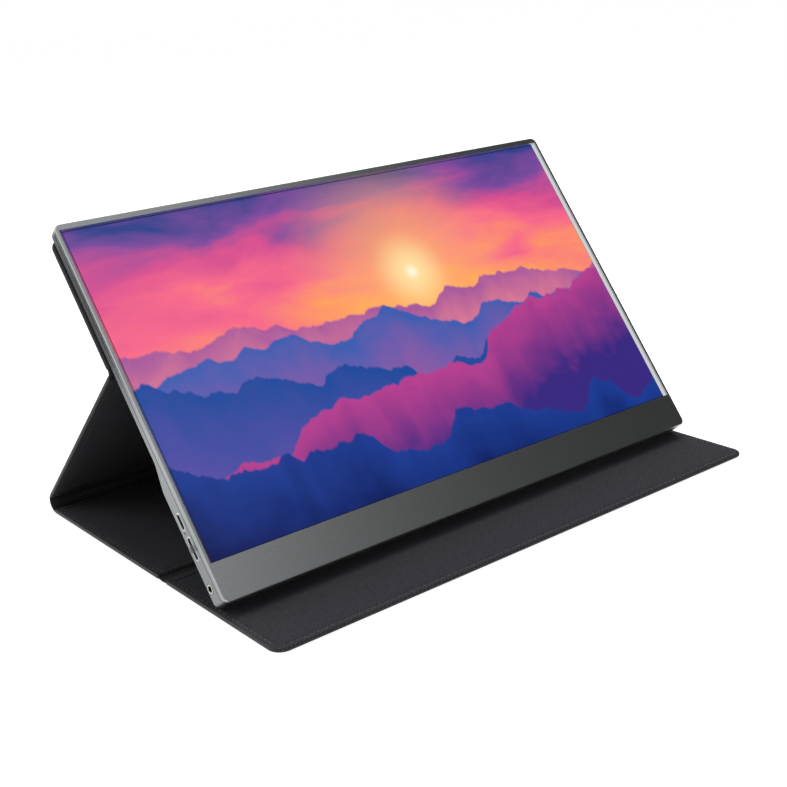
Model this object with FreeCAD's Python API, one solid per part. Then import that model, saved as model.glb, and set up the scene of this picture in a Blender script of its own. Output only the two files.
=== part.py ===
"""Portable monitor standing in its folio cover. Millimetres, +X right, +Y back, +Z up.

The monitor is drawn lying on its back: X across, Y up the screen from its lower edge, Z out of the
screen with 0 on the frame's face. It is then tilted about X and stood on the cover's floor.
Cover panels are drawn flat with their outer face at Z = 0 and their lining on top.
"""
import FreeCAD
import Part
import math
import os

# Display panel
SCREEN_W = 344.2
SCREEN_H = 193.6
GLASS_T = 1.2
GLASS_MARGIN = 2.0
GLASS_LOWER_MARGIN = 8.0
GUIDE_T = 2.0
GUIDE_MARGIN = 1.0
LED_BAR_H = 3.0
PAN_T = 0.4
DRIVER_BOARD_H = 3.0
DRIVER_BOARD_T = 0.8
DRIVER_BOARD_INSET = 62.1

# Front frame
SIDE_BEZEL = 4.0
TOP_BEZEL = 4.0
CHIN = 22.4
LIP = 2.0
LIP_SIDE_SLANT = 2.0
LIP_END_SLANT = 0.5
FRAME_WALL = 1.2
FRAME_SKIRT = 3.0
CORNER_R = 4.0
FRONT_CHAMFER = 0.5

# Rear cover
CASE_WALL = 1.4
PARTING_GAP = 0.5
MODULE_H = 67.2
SLOPE_H = 14.4
SLOPE_R = 6.0
REAR_EDGE_R = 1.5
VENT_COUNT = 18
VENT_PITCH = 5.0
VENT_W = 1.6
VENT_H = 12.0
VENT_V = 52.0
SOUND_SLOT_COUNT = 7
SOUND_SLOT_PITCH = 4.0

# Fixings and small clearances inside the monitor
FIT_GAP = 0.1
SCREW_BOARD_GAP = 13.3
SCREW_V = 7.5
SCREW_R = 1.0
SCREW_LENGTH = 6.0
SCREW_HEAD_R = 2.2
SCREW_HEAD_T = 0.9
BOSS_W = 5.2
POST_W = 4.0
POST_H = 1.5

# Circuit boards
BOARD_T = 1.0
BOARD_EDGE_GAP = 0.4
SIDE_BOARD_W = 36.0
SIDE_BOARD_V = (6.0, 60.0)
MAIN_BOARD_W = 78.0
MAIN_BOARD_V = (13.0, 60.0)
POST_INSET = 5.0
CHIP_T = 1.0
SCALER_W = 14.0
SCALER_INSET = 32.0
REGULATOR_W = 7.0
REGULATOR_INSET = 24.0
RIBBON_T = 0.2
RIBBON_W = 12.0
RIBBON_LAP = 6.0
RIBBON_BEND_R = 1.2
LINK_RIBBON_V = 48.0
DISPLAY_RIBBON_INSET = 7.7
DISPLAY_RIBBON_RUN = 2.2

# Ports and the jog control, by the height of their centres up the side wall
USB_LEFT_V = 48.7
USB_RIGHT_V = 30.0
USB_W = 8.94
USB_H = 3.16
USB_SHELL = 0.3
USB_DEPTH = 7.4
USB_TONGUE_W = 6.7
USB_TONGUE_T = 0.7
USB_TONGUE_L = 4.5
HDMI_V = 48.0
HDMI_W = 11.2
HDMI_H = 3.2
HDMI_SHELL = 0.35
HDMI_CORNER = 1.2
HDMI_DEPTH = 7.8
PORT_GAP = 0.15
JACK_V = 11.1
JACK_BORE_R = 1.8
JACK_NOSE_R = 2.9
JACK_BODY_W = 6.4
JACK_BODY_H = 5.0
JACK_BODY_L = 12.0
JACK_BORE_L = 12.5
LIGHT_V = 42.4
LIGHT_R = 0.6
LIGHT_L = 5.0
JOG_V = 33.4
JOG_SLOT_L = 12.0
JOG_WHEEL_R = 6.6
JOG_WHEEL_T = 2.0
JOG_SUNK = 0.5
JOG_SLOT_GAP = 0.4
JOG_NUB_OUT = 1.3
JOG_NUB_W = 3.6
JOG_PIN_R = 1.2
JOG_PIN_GAP = 0.05
JOG_PLATE_T = 0.6
JOG_HEAD_T = 0.4
JOG_HEAD_R = 2.0
JOG_PLATE_W = 7.0
JOG_TRAVEL = 0.4
JOG_STOP_GAP = 0.2
JOG_SWITCH_W = 6.0
JOG_SWITCH_L = 4.0
JOG_SWITCH_T = 2.6

# Speakers, and the steel plates that the cover's magnets hold
SPEAKER_BOARD_GAP = 6.3
SPEAKER_V = 28.0
SPEAKER_W = 40.0
SPEAKER_H = 16.0
SPEAKER_T = 4.6
SPEAKER_CONE_R = 6.0
SPEAKER_CONE_DEPTH = 1.2
KEEPER_T = 1.0
KEEPER_GAP = 0.2
KEEPER_INSET = 24.7
KEEPER_H = 14.0
MODULE_AIR = 0.6

# Folio cover
COVER_MARGIN = 1.5
SKIN_T = 0.6
STIFFENER_T = 1.2
LINING_T = 0.5
LINING_SINK = 0.1
RIM_W = 4.5
RIM_EDGE_W = 1.2
LAMINATE_GAP = 0.05
COVER_EDGE = 0.8
FLAP_CORNER_R = 8.0
BACK_CORNER_R = 6.0
FOLD_INSET = 1.5
FOLD_T = 1.2
FLAP_LENGTH = 111.0
CREASE_W = 8.0
MAGNET_W = 20.0
MAGNET_H = 8.0
MAGNET_COLUMNS = 4
MAGNET_INSET = 24.0
MAGNET_ROW_INSETS = (56.0, 20.0)

# Stance on the table
TILT = 52.0
FOOT_SETBACK = 57.0
FOOT_GAP = 0.2
BACK_GAP = 0.1
UPPER_FOLD_R = 3.0
BACK_TOP_GAP = 4.0
BACK_LENGTH = 78.0
REAR_FOLD_R = 5.0
STRUT_SPAN = 146.2

# Sizes of the monitor that follow
FRAME_W = SCREEN_W + 2 * SIDE_BEZEL
FRAME_H = SCREEN_H + TOP_BEZEL + CHIN
SIDE_X = FRAME_W / 2
INNER_X = SIDE_X - CASE_WALL
GLASS_BACK = LIP + GLASS_T
GUIDE_BACK = GLASS_BACK + GUIDE_T
PAN_BACK = GUIDE_BACK + PAN_T
SLIM_DEPTH = PAN_BACK + KEEPER_GAP + KEEPER_T + CASE_WALL
MODULE_DEPTH = PAN_BACK + MODULE_AIR + USB_H + BOARD_T + POST_H + CASE_WALL
MODULE_FLOOR = MODULE_DEPTH - CASE_WALL
COVER_RIM = FRAME_SKIRT + PARTING_GAP
BOARD_BACK = MODULE_FLOOR - POST_H
BOARD_FRONT = BOARD_BACK - BOARD_T
USB_N = -BOARD_FRONT + USB_H / 2
HDMI_N = -BOARD_FRONT + HDMI_H / 2
JACK_N = -(BOARD_FRONT + BOARD_BACK) / 2 + JACK_BODY_H / 2 - POST_H
LIGHT_N = -BOARD_FRONT + LIGHT_R + FIT_GAP
JOG_PLATE_N = -BOARD_FRONT + FIT_GAP
JOG_N = JOG_PLATE_N + JOG_PLATE_T + FIT_GAP + JOG_WHEEL_T / 2
JOG_X = -SIDE_X + JOG_SUNK + JOG_WHEEL_R
BOARD_EDGE_X = INNER_X - BOARD_EDGE_GAP
SIDE_BOARD_END = -BOARD_EDGE_X + SIDE_BOARD_W
MAIN_BOARD_END = BOARD_EDGE_X - MAIN_BOARD_W
GLASS_HALF_W = SCREEN_W / 2 + GLASS_MARGIN
GUIDE_HALF_W = SCREEN_W / 2 + GUIDE_MARGIN
GUIDE_LOW_V = CHIN - GUIDE_MARGIN
PAN_CORNER_R = CORNER_R - CASE_WALL
GLASS_LOW_V = CHIN - GLASS_LOWER_MARGIN
GLASS_TOP_V = CHIN + SCREEN_H + GLASS_MARGIN
DRIVER_BOARD_W = SCREEN_W - 2 * DRIVER_BOARD_INSET
DISPLAY_RIBBON_X = MAIN_BOARD_END + DISPLAY_RIBBON_INSET
SPEAKER_X = MAIN_BOARD_END - SPEAKER_BOARD_GAP - SPEAKER_W / 2
SCREW_OUTER_X = -SIDE_BOARD_END - SCREW_BOARD_GAP
SCREW_X = (-SCREW_OUTER_X, 0.0, SCREW_OUTER_X)
KEEPER_W = 2 * (INNER_X - KEEPER_INSET)
MAGNET_PITCH = (KEEPER_W - 2 * MAGNET_INSET) / (MAGNET_COLUMNS - 1)
BACK_TOP_V = FRAME_H - BACK_TOP_GAP
UPPER_FOLD_V = BACK_TOP_V - BACK_LENGTH
MAGNET_ROWS = [BACK_TOP_V - inset for inset in MAGNET_ROW_INSETS]

# Places on the table that follow, measured from the flap's front edge
COVER_W = FRAME_W + 2 * COVER_MARGIN
COVER_T = SKIN_T + STIFFENER_T + LINING_T + LINING_SINK
TILT_RAD = math.radians(TILT)
UP_SCREEN = FreeCAD.Vector(0, math.cos(TILT_RAD), math.sin(TILT_RAD))
OUT_OF_SCREEN = FreeCAD.Vector(0, -math.sin(TILT_RAD), math.cos(TILT_RAD))
FOOT = FreeCAD.Vector(0, FOOT_SETBACK, COVER_T + FOOT_GAP + REAR_EDGE_R)
FOOT_N = REAR_EDGE_R - MODULE_DEPTH
UPPER_FOLD_N = -(SLIM_DEPTH + BACK_GAP + COVER_T / 2 + UPPER_FOLD_R)
UPPER_AXIS = (FOOT + UP_SCREEN * (UPPER_FOLD_V - REAR_EDGE_R)
              + OUT_OF_SCREEN * (UPPER_FOLD_N - FOOT_N))
REAR_AXIS_Z = REAR_FOLD_R + COVER_T / 2
REAR_AXIS_Y = UPPER_AXIS.y + math.sqrt(STRUT_SPAN ** 2 - (UPPER_AXIS.z - REAR_AXIS_Z) ** 2)
REAR_AXIS = FreeCAD.Vector(0, REAR_AXIS_Y, REAR_AXIS_Z)
SPAN_SLOPE = math.asin((UPPER_AXIS.z - REAR_AXIS.z) / STRUT_SPAN)
STRUT_SLOPE = SPAN_SLOPE - math.asin((REAR_FOLD_R + UPPER_FOLD_R) / STRUT_SPAN)
STRUT_LENGTH = math.sqrt(STRUT_SPAN ** 2 - (REAR_FOLD_R + UPPER_FOLD_R) ** 2)
STRUT_OUTWARD = FreeCAD.Vector(0, math.sin(STRUT_SLOPE), math.cos(STRUT_SLOPE))
STAND_DEPTH = REAR_AXIS_Y + REAR_FOLD_R + COVER_T / 2
TO_ORIGIN = FreeCAD.Vector(0, -STAND_DEPTH / 2, 0)

ORIGIN = FreeCAD.Vector(0, 0, 0)
X_AXIS = FreeCAD.Vector(1, 0, 0)
TINY = 1e-6


def vec(x, y, z):
    """A vector from three numbers."""
    return FreeCAD.Vector(x, y, z)


def rounded_wire(corners, radii, closed=True):
    """A wire through corners, each rounded by its own radius."""
    edges = []
    last = None
    first = None
    count = len(corners)
    for index, corner in enumerate(corners):
        start = corner
        end = corner
        arc = None
        if radii[index] > 0:
            back = (corners[index - 1] - corner).normalize()
            ahead = (corners[(index + 1) % count] - corner).normalize()
            half = back.getAngle(ahead) / 2
            reach = radii[index] / math.tan(half)
            start = corner + back * reach
            end = corner + ahead * reach
            inward = (back + ahead).normalize()
            middle = corner + inward * (radii[index] / math.sin(half) - radii[index])
            arc = Part.Arc(start, middle, end).toShape()
        if last is not None and last.distanceToPoint(start) > TINY:
            edges.append(Part.makeLine(last, start))
        if arc is not None:
            edges.append(arc)
        if first is None:
            first = start
        last = end
    if closed and last.distanceToPoint(first) > TINY:
        edges.append(Part.makeLine(last, first))
    return Part.Wire(edges)


def slab(x_span, y_span, z_span, low_r=0.0, high_r=0.0):
    """A flat plate, its corners rounded by low_r at the lower y edge and high_r at the upper one."""
    x0, x1 = x_span
    y0, y1 = y_span
    z0, z1 = z_span
    corners = [vec(x0, y0, z0), vec(x1, y0, z0), vec(x1, y1, z0), vec(x0, y1, z0)]
    wire = rounded_wire(corners, [low_r, low_r, high_r, high_r])
    return Part.Face(wire).extrude(vec(0, 0, z1 - z0))


def block(x_span, y_span, z_span):
    """A plain rectangular block."""
    size = [span[1] - span[0] for span in (x_span, y_span, z_span)]
    return Part.makeBox(size[0], size[1], size[2], vec(x_span[0], y_span[0], z_span[0]))


def about(centre, width):
    """The span of a width about a centre."""
    return (centre - width / 2, centre + width / 2)


def spread(count, pitch):
    """Places of a row of equal steps about zero."""
    return [(index - (count - 1) / 2) * pitch for index in range(count)]


def side_bar(x_span, y_span, z_span, corner_r):
    """A bar along X whose section in YZ has rounded corners."""
    bar = slab(y_span, z_span, x_span, corner_r, corner_r)
    bar.rotate(ORIGIN, vec(1, 1, 1), 120)
    return bar


def rod(centre, along, radius, length):
    """A cylinder from a centre point along a direction."""
    return Part.makeCylinder(radius, length, centre, along)


def edges_at_z(shape, z):
    """The edges that a shape has at height z."""
    return [edge for edge in shape.Edges if all(abs(vertex.Z - z) < TINY for vertex in edge.Vertexes)]


def upright_edges(shape):
    """The straight edges of a shape along Z."""
    found = []
    for edge in shape.Edges:
        if len(edge.Vertexes) == 2:
            run = edge.Vertexes[1].Point - edge.Vertexes[0].Point
            if abs(run.x) < TINY and abs(run.y) < TINY:
                found.append(edge)
    return found


def cut_all(shape, tools):
    """A shape with every tool cut away."""
    for tool in tools:
        shape = shape.cut(tool)
    return shape


def front_frame():
    """Front frame: a plate with a bevelled window, shallow side walls and screw bosses behind the chin."""
    plate = slab((-SIDE_X, SIDE_X), (0, FRAME_H), (-FRAME_SKIRT, 0), CORNER_R, CORNER_R)
    plate = plate.makeChamfer(FRONT_CHAMFER, edges_at_z(plate, 0)[:1])
    window = []
    for depth, side_slant, end_slant in ((-LIP, 0.0, 0.0), (0.0, LIP_SIDE_SLANT, LIP_END_SLANT)):
        half = SCREEN_W / 2 + side_slant
        low = CHIN - end_slant
        high = CHIN + SCREEN_H + end_slant
        corners = [vec(-half, low, depth), vec(half, low, depth), vec(half, high, depth),
                   vec(-half, high, depth)]
        window.append(Part.makePolygon(corners + corners[:1]))
    plate = plate.cut(Part.makeLoft(window, True, True))
    pocket_r = CORNER_R - FRAME_WALL
    pocket = slab((-SIDE_X + FRAME_WALL, SIDE_X - FRAME_WALL), (FRAME_WALL, FRAME_H - FRAME_WALL),
                  (-FRAME_SKIRT, -LIP), pocket_r, pocket_r)
    plate = plate.cut(pocket)
    for x in SCREW_X:
        plate = plate.fuse(block(about(x, BOSS_W), about(SCREW_V, BOSS_W), (-MODULE_FLOOR, -LIP)))
        bore_depth = SCREW_LENGTH - (CASE_WALL - SCREW_HEAD_T) + FIT_GAP
        plate = plate.cut(rod(vec(x, SCREW_V, -MODULE_FLOOR), vec(0, 0, 1), SCREW_R + FIT_GAP, bore_depth))
    return plate


def case_body(inset, rim, corner_r):
    """The rear cover's body, or its cavity when inset by the wall, from a side profile."""
    slope_angle = math.atan2(MODULE_DEPTH - SLIM_DEPTH, SLOPE_H)
    shift = inset * math.tan(slope_angle / 2)
    half = SIDE_X - inset
    slim = -SLIM_DEPTH + inset
    deep = -MODULE_DEPTH + inset
    corners = [vec(-half, inset, rim), vec(-half, FRAME_H - inset, rim), vec(-half, FRAME_H - inset, slim),
               vec(-half, MODULE_H + SLOPE_H - shift, slim), vec(-half, MODULE_H - shift, deep),
               vec(-half, inset, deep)]
    radii = [0, 0, 0, SLOPE_R + inset, SLOPE_R - inset, 0]
    body = Part.Face(rounded_wire(corners, radii)).extrude(vec(2 * half, 0, 0))
    return body.makeFillet(corner_r, upright_edges(body))


def side_openings():
    """Cutters for the port openings, the jog slot and the pinhole in the side walls."""
    left = (-SIDE_X - CASE_WALL, -INNER_X + CASE_WALL)
    right = (INNER_X - CASE_WALL, SIDE_X + CASE_WALL)
    usb_w = USB_W + 2 * PORT_GAP
    usb_h = USB_H + 2 * PORT_GAP
    slot_h = JOG_WHEEL_T + 2 * JOG_SLOT_GAP
    return [
        side_bar(left, about(USB_LEFT_V, usb_w), about(USB_N, usb_h), usb_h / 2),
        side_bar(right, about(USB_RIGHT_V, usb_w), about(USB_N, usb_h), usb_h / 2),
        hdmi_outline(-PORT_GAP, right[0]).extrude(vec(right[1] - right[0], 0, 0)),
        side_bar(left, about(JOG_V, JOG_SLOT_L), about(JOG_N, slot_h), slot_h / 2),
        rod(vec(left[0], JACK_V, JACK_N), X_AXIS, JACK_NOSE_R + PORT_GAP, left[1] - left[0]),
        rod(vec(left[0], LIGHT_V, LIGHT_N), X_AXIS, LIGHT_R + FIT_GAP, left[1] - left[0]),
    ]


def slot_row(centre_x, centre_v, count, pitch):
    """Cutters for a row of upright slots through the module's rear wall."""
    row = []
    for place in spread(count, pitch):
        row.append(block(about(centre_x + place, VENT_W), about(centre_v, VENT_H),
                         (-MODULE_DEPTH - CASE_WALL, -MODULE_FLOOR + FIT_GAP)))
    return row


def board_posts():
    """Centres of the posts under the two circuit boards."""
    places = []
    for x_span, v_span in (((-BOARD_EDGE_X, SIDE_BOARD_END), SIDE_BOARD_V),
                           ((MAIN_BOARD_END, BOARD_EDGE_X), MAIN_BOARD_V)):
        inner_x = x_span[1] if x_span[0] < 0 else x_span[0]
        outer_x = x_span[0] if x_span[0] < 0 else x_span[1]
        step = math.copysign(POST_INSET, outer_x)
        for v in (v_span[0] + POST_INSET, v_span[1] - POST_INSET):
            places.append((inner_x + step, v))
        places.append((outer_x - 3 * step, v_span[1] - POST_INSET))
    return places


def rear_cover():
    """Rear cover: a slim tray with a thicker lower module, open at the ports, vents and sound slots."""
    shell = case_body(0.0, -COVER_RIM, CORNER_R)
    shell = shell.makeFillet(REAR_EDGE_R, edges_at_z(shell, -MODULE_DEPTH)[:1])
    shell = shell.cut(case_body(CASE_WALL, 0.0, CORNER_R - CASE_WALL))
    shell = cut_all(shell, side_openings())
    shell = cut_all(shell, slot_row(0.0, VENT_V, VENT_COUNT, VENT_PITCH))
    for side in (-1, 1):
        shell = cut_all(shell, slot_row(side * SPEAKER_X, SPEAKER_V, SOUND_SLOT_COUNT, SOUND_SLOT_PITCH))
    for x in SCREW_X:
        hole = rod(vec(x, SCREW_V, -MODULE_DEPTH), vec(0, 0, 1), SCREW_R + FIT_GAP, CASE_WALL)
        sink = rod(vec(x, SCREW_V, -MODULE_DEPTH), vec(0, 0, 1), SCREW_HEAD_R + FIT_GAP, SCREW_HEAD_T)
        shell = cut_all(shell, [hole, sink])
    for x, v in board_posts():
        post = block(about(x, POST_W), about(v, POST_W), (-MODULE_FLOOR, -MODULE_FLOOR + POST_H))
        shell = shell.fuse(post)
    return shell


def case_screws():
    """Pan-head screws from the rear cover into the frame's bosses."""
    screws = []
    for x in SCREW_X:
        head = rod(vec(x, SCREW_V, -MODULE_DEPTH), vec(0, 0, 1), SCREW_HEAD_R, SCREW_HEAD_T)
        shank = rod(vec(x, SCREW_V, -MODULE_DEPTH + SCREW_HEAD_T), vec(0, 0, 1), SCREW_R, SCREW_LENGTH)
        screws.append(head.fuse(shank))
    return Part.makeCompound(screws)


def lcd_panel():
    """Display glass, seated on the back of the frame's lip."""
    return slab((-GLASS_HALF_W, GLASS_HALF_W), (GLASS_LOW_V, GLASS_TOP_V), (-GLASS_BACK, -LIP), 0.0,
                PAN_CORNER_R)


def light_guide():
    """Clear backlight plate behind the glass."""
    top_v = CHIN + SCREEN_H + GUIDE_MARGIN
    return slab((-GUIDE_HALF_W, GUIDE_HALF_W), (GUIDE_LOW_V, top_v), (-GUIDE_BACK, -GLASS_BACK), 0.0,
                PAN_CORNER_R - PAN_T)


def led_bar():
    """Light bar along the guide's lower edge."""
    return block((-GUIDE_HALF_W, GUIDE_HALF_W), (GUIDE_LOW_V - LED_BAR_H, GUIDE_LOW_V),
                 (-GUIDE_BACK, -GLASS_BACK))


def panel_tray():
    """Metal pan with upturned edges round the light guide and its bar."""
    pan = slab((-GLASS_HALF_W, GLASS_HALF_W), (GLASS_LOW_V, GLASS_TOP_V), (-PAN_BACK, -GLASS_BACK), 0.0,
               PAN_CORNER_R)
    inside_w = GLASS_HALF_W - PAN_T
    inside = slab((-inside_w, inside_w), (GLASS_LOW_V + PAN_T, GLASS_TOP_V - PAN_T),
                  (-GUIDE_BACK, -GLASS_BACK), 0.0, PAN_CORNER_R - PAN_T)
    return pan.cut(inside)


def panel_driver_board():
    """Narrow driver board under the glass, on the back of the chin."""
    high = GLASS_LOW_V - FIT_GAP
    return block(about(0, DRIVER_BOARD_W), (high - DRIVER_BOARD_H, high), (-LIP - DRIVER_BOARD_T, -LIP))


def side_board():
    """Left circuit board, notched for the audio jack."""
    board = block((-BOARD_EDGE_X, SIDE_BOARD_END), SIDE_BOARD_V, (-BOARD_BACK, -BOARD_FRONT))
    notch = block((-SIDE_X, -INNER_X + JACK_BODY_L + FIT_GAP), about(JACK_V, JACK_BODY_W + 2 * FIT_GAP),
                  (-MODULE_DEPTH, 0))
    return board.cut(notch)


def main_board():
    """Right circuit board with its scaler and power chips."""
    board = block((MAIN_BOARD_END, BOARD_EDGE_X), MAIN_BOARD_V, (-BOARD_BACK, -BOARD_FRONT))
    middle = sum(MAIN_BOARD_V) / 2
    scaler = (MAIN_BOARD_END + SCALER_INSET, SCALER_W)
    regulator = (BOARD_EDGE_X - REGULATOR_INSET, REGULATOR_W)
    for x, width in (scaler, regulator):
        chip = block(about(x, width), about(middle, width), (-BOARD_FRONT, -BOARD_FRONT + CHIP_T))
        board = board.fuse(chip)
    return board


def link_ribbon():
    """Flat ribbon that joins the two boards."""
    return block((SIDE_BOARD_END - RIBBON_LAP, MAIN_BOARD_END + RIBBON_LAP), about(LINK_RIBBON_V, RIBBON_W),
                 (-BOARD_FRONT, -BOARD_FRONT + RIBBON_T))


def display_ribbon():
    """Flat ribbon from the main board, round under the pan, to the driver board."""
    board_n = -BOARD_FRONT + RIBBON_T / 2
    driver_n = -LIP - DRIVER_BOARD_T - RIBBON_T / 2
    driver_v = GLASS_LOW_V - FIT_GAP
    run_v = driver_v - DRIVER_BOARD_H - DISPLAY_RIBBON_RUN
    x = DISPLAY_RIBBON_X
    start_v = MAIN_BOARD_V[0] + RIBBON_LAP
    corners = [vec(x, start_v, board_n), vec(x, run_v, board_n), vec(x, run_v, driver_n),
               vec(x, driver_v, driver_n)]
    path = rounded_wire(corners, [0, RIBBON_BEND_R, RIBBON_BEND_R, 0], closed=False)
    x0, x1 = about(x, RIBBON_W)
    n0, n1 = about(board_n, RIBBON_T)
    section = [vec(x0, start_v, n0), vec(x1, start_v, n0), vec(x1, start_v, n1), vec(x0, start_v, n1)]
    return path.makePipeShell([Part.makePolygon(section + section[:1])], True, False)


def usb_shell(side, centre_v):
    """Drawn steel shell of a USB-C socket, open at the side wall."""
    mouth = side * (SIDE_X - PORT_GAP)
    root = side * (SIDE_X - PORT_GAP - USB_DEPTH)
    floor = root + side * USB_SHELL
    shell = side_bar(sorted((mouth, root)), about(centre_v, USB_W), about(USB_N, USB_H), USB_H / 2)
    hollow_h = USB_H - 2 * USB_SHELL
    hollow = side_bar(sorted((mouth + side, floor)), about(centre_v, USB_W - 2 * USB_SHELL),
                      about(USB_N, hollow_h), hollow_h / 2)
    return shell.cut(hollow)


def usb_tongues():
    """Contact tongues of the two USB-C sockets."""
    tongues = []
    for side, centre_v in ((-1, USB_LEFT_V), (1, USB_RIGHT_V)):
        floor = side * (SIDE_X - PORT_GAP - USB_DEPTH + USB_SHELL)
        tip = floor + side * USB_TONGUE_L
        tongues.append(block(sorted((floor, tip)), about(centre_v, USB_TONGUE_W), about(USB_N, USB_TONGUE_T)))
    return Part.makeCompound(tongues)


def hdmi_outline(inset, x):
    """Mini-HDMI section with its two chamfered rear corners."""
    half = HDMI_W / 2 - inset
    low = HDMI_N - HDMI_H / 2 + inset
    high = HDMI_N + HDMI_H / 2 - inset
    corner = HDMI_CORNER
    points = [vec(x, HDMI_V - half + corner, low), vec(x, HDMI_V + half - corner, low),
              vec(x, HDMI_V + half, low + corner), vec(x, HDMI_V + half, high),
              vec(x, HDMI_V - half, high), vec(x, HDMI_V - half, low + corner)]
    return Part.Face(Part.makePolygon(points + points[:1]))


def mini_hdmi_port():
    """Mini-HDMI socket: steel shell with its contact tongue."""
    mouth = SIDE_X - PORT_GAP
    shell = hdmi_outline(0.0, mouth - HDMI_DEPTH).extrude(vec(HDMI_DEPTH, 0, 0))
    hollow = hdmi_outline(HDMI_SHELL, mouth - HDMI_DEPTH + HDMI_SHELL).extrude(vec(HDMI_DEPTH, 0, 0))
    tongue = block((mouth - HDMI_DEPTH, mouth - HDMI_DEPTH / 3), about(HDMI_V, HDMI_W - 4 * HDMI_CORNER),
                   about(HDMI_N, USB_TONGUE_T))
    return shell.cut(hollow).fuse(tongue)


def audio_jack():
    """Audio socket: a moulded body behind the wall and a round nose in it."""
    body = block((-INNER_X + FIT_GAP, -INNER_X + JACK_BODY_L), about(JACK_V, JACK_BODY_W),
                 about(JACK_N, JACK_BODY_H))
    nose_length = CASE_WALL + FIT_GAP + PORT_GAP
    nose = rod(vec(-SIDE_X + PORT_GAP, JACK_V, JACK_N), X_AXIS, JACK_NOSE_R, nose_length)
    bore = rod(vec(-SIDE_X - PORT_GAP, JACK_V, JACK_N), X_AXIS, JACK_BORE_R, JACK_BORE_L + 2 * PORT_GAP)
    return body.fuse(nose).cut(bore)


def indicator_light():
    """Light pipe in the pinhole, with its foot on the board."""
    pipe = rod(vec(-SIDE_X + FIT_GAP, LIGHT_V, LIGHT_N), X_AXIS, LIGHT_R, LIGHT_L)
    tail_x = -SIDE_X + FIT_GAP + LIGHT_L
    foot = block((tail_x - 2 * LIGHT_R, tail_x), about(LIGHT_V, 2 * LIGHT_R), (-BOARD_FRONT, LIGHT_N))
    return pipe.fuse(foot)


def jog_wheel():
    """Jog wheel: a disc with a finger nub that stands out of the slot."""
    low = JOG_N - JOG_WHEEL_T / 2
    disc = rod(vec(JOG_X, JOG_V, low), vec(0, 0, 1), JOG_WHEEL_R, JOG_WHEEL_T)
    nub_r = JOG_NUB_W / 4
    nub = slab((-SIDE_X - JOG_NUB_OUT, JOG_X - JOG_HEAD_R), about(JOG_V, JOG_NUB_W),
               (low, low + JOG_WHEEL_T), nub_r, nub_r)
    bore = rod(vec(JOG_X, JOG_V, low), vec(0, 0, 1), JOG_PIN_R + JOG_PIN_GAP, JOG_WHEEL_T)
    return disc.fuse(nub).cut(bore)


def jog_carrier():
    """Slider under the jog wheel, with the pin that the wheel rocks on."""
    plate = slab(about(JOG_X, JOG_PLATE_W), about(JOG_V, JOG_PLATE_W),
                 (JOG_PLATE_N, JOG_PLATE_N + JOG_PLATE_T), JOG_PIN_R, JOG_PIN_R)
    head_n = JOG_N + JOG_WHEEL_T / 2 + FIT_GAP
    pin = rod(vec(JOG_X, JOG_V, JOG_PLATE_N), vec(0, 0, 1), JOG_PIN_R, head_n - JOG_PLATE_N)
    head = rod(vec(JOG_X, JOG_V, head_n), vec(0, 0, 1), JOG_HEAD_R, JOG_HEAD_T)
    return plate.fuse(pin).fuse(head)


def jog_switch():
    """Three-way switch on the board behind the jog wheel."""
    front = JOG_X + JOG_WHEEL_R + JOG_TRAVEL + JOG_STOP_GAP
    return block((front, front + JOG_SWITCH_L), about(JOG_V, JOG_SWITCH_W),
                 (-BOARD_FRONT, -BOARD_FRONT + JOG_SWITCH_T))


def speaker(side):
    """Box speaker with a round cone recess, on the module's rear wall behind the sound slots."""
    x = side * SPEAKER_X
    body = block(about(x, SPEAKER_W), about(SPEAKER_V, SPEAKER_H), (-MODULE_FLOOR, -MODULE_FLOOR + SPEAKER_T))
    return body.cut(rod(vec(x, SPEAKER_V, -MODULE_FLOOR), vec(0, 0, 1), SPEAKER_CONE_R, SPEAKER_CONE_DEPTH))


def keeper_plates():
    """Steel strips inside the slim rear wall, opposite the cover's magnets."""
    back = SLIM_DEPTH - CASE_WALL
    strips = [block(about(0, KEEPER_W), about(v, KEEPER_H), (-back, -back + KEEPER_T)) for v in MAGNET_ROWS]
    return Part.makeCompound(strips)


class Panel:
    """One stiff panel of the cover: a skin turned over a board, and a lining in the frame it leaves."""

    def __init__(self, length, low_r=0.0, high_r=0.0):
        self.length = length
        self.low_r = low_r
        self.high_r = high_r

    def sheet(self, inset, z_span):
        """A flat sheet of the panel's outline, drawn in by an inset."""
        half = COVER_W / 2 - inset
        low_r = max(self.low_r - inset, 0.0)
        high_r = max(self.high_r - inset, 0.0)
        return slab((-half, half), (inset, self.length - inset), z_span, low_r, high_r)

    def skin(self):
        """Outer skin, eased at its edges and turned over onto the inner face."""
        skin = self.sheet(0.0, (0, COVER_T))
        skin = skin.makeChamfer(COVER_EDGE, edges_at_z(skin, 0) + edges_at_z(skin, COVER_T))
        lining_z = SKIN_T + STIFFENER_T
        skin = skin.cut(self.sheet(RIM_EDGE_W, (SKIN_T, lining_z)))
        return skin.cut(self.sheet(RIM_W, (lining_z, COVER_T)))

    def board(self):
        """Stiffening board inside the skin."""
        return self.sheet(RIM_EDGE_W + LAMINATE_GAP, (SKIN_T, SKIN_T + STIFFENER_T))

    def lining(self):
        """Lining inside the turned edge, a little below it."""
        low = SKIN_T + STIFFENER_T
        return self.sheet(RIM_W + LAMINATE_GAP, (low, low + LINING_T))


def magnet_places():
    """Centres of the back panel's magnets, in the flat panel."""
    columns = spread(MAGNET_COLUMNS, MAGNET_PITCH)
    return [(x, v - UPPER_FOLD_V) for v in MAGNET_ROWS for x in columns]


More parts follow.
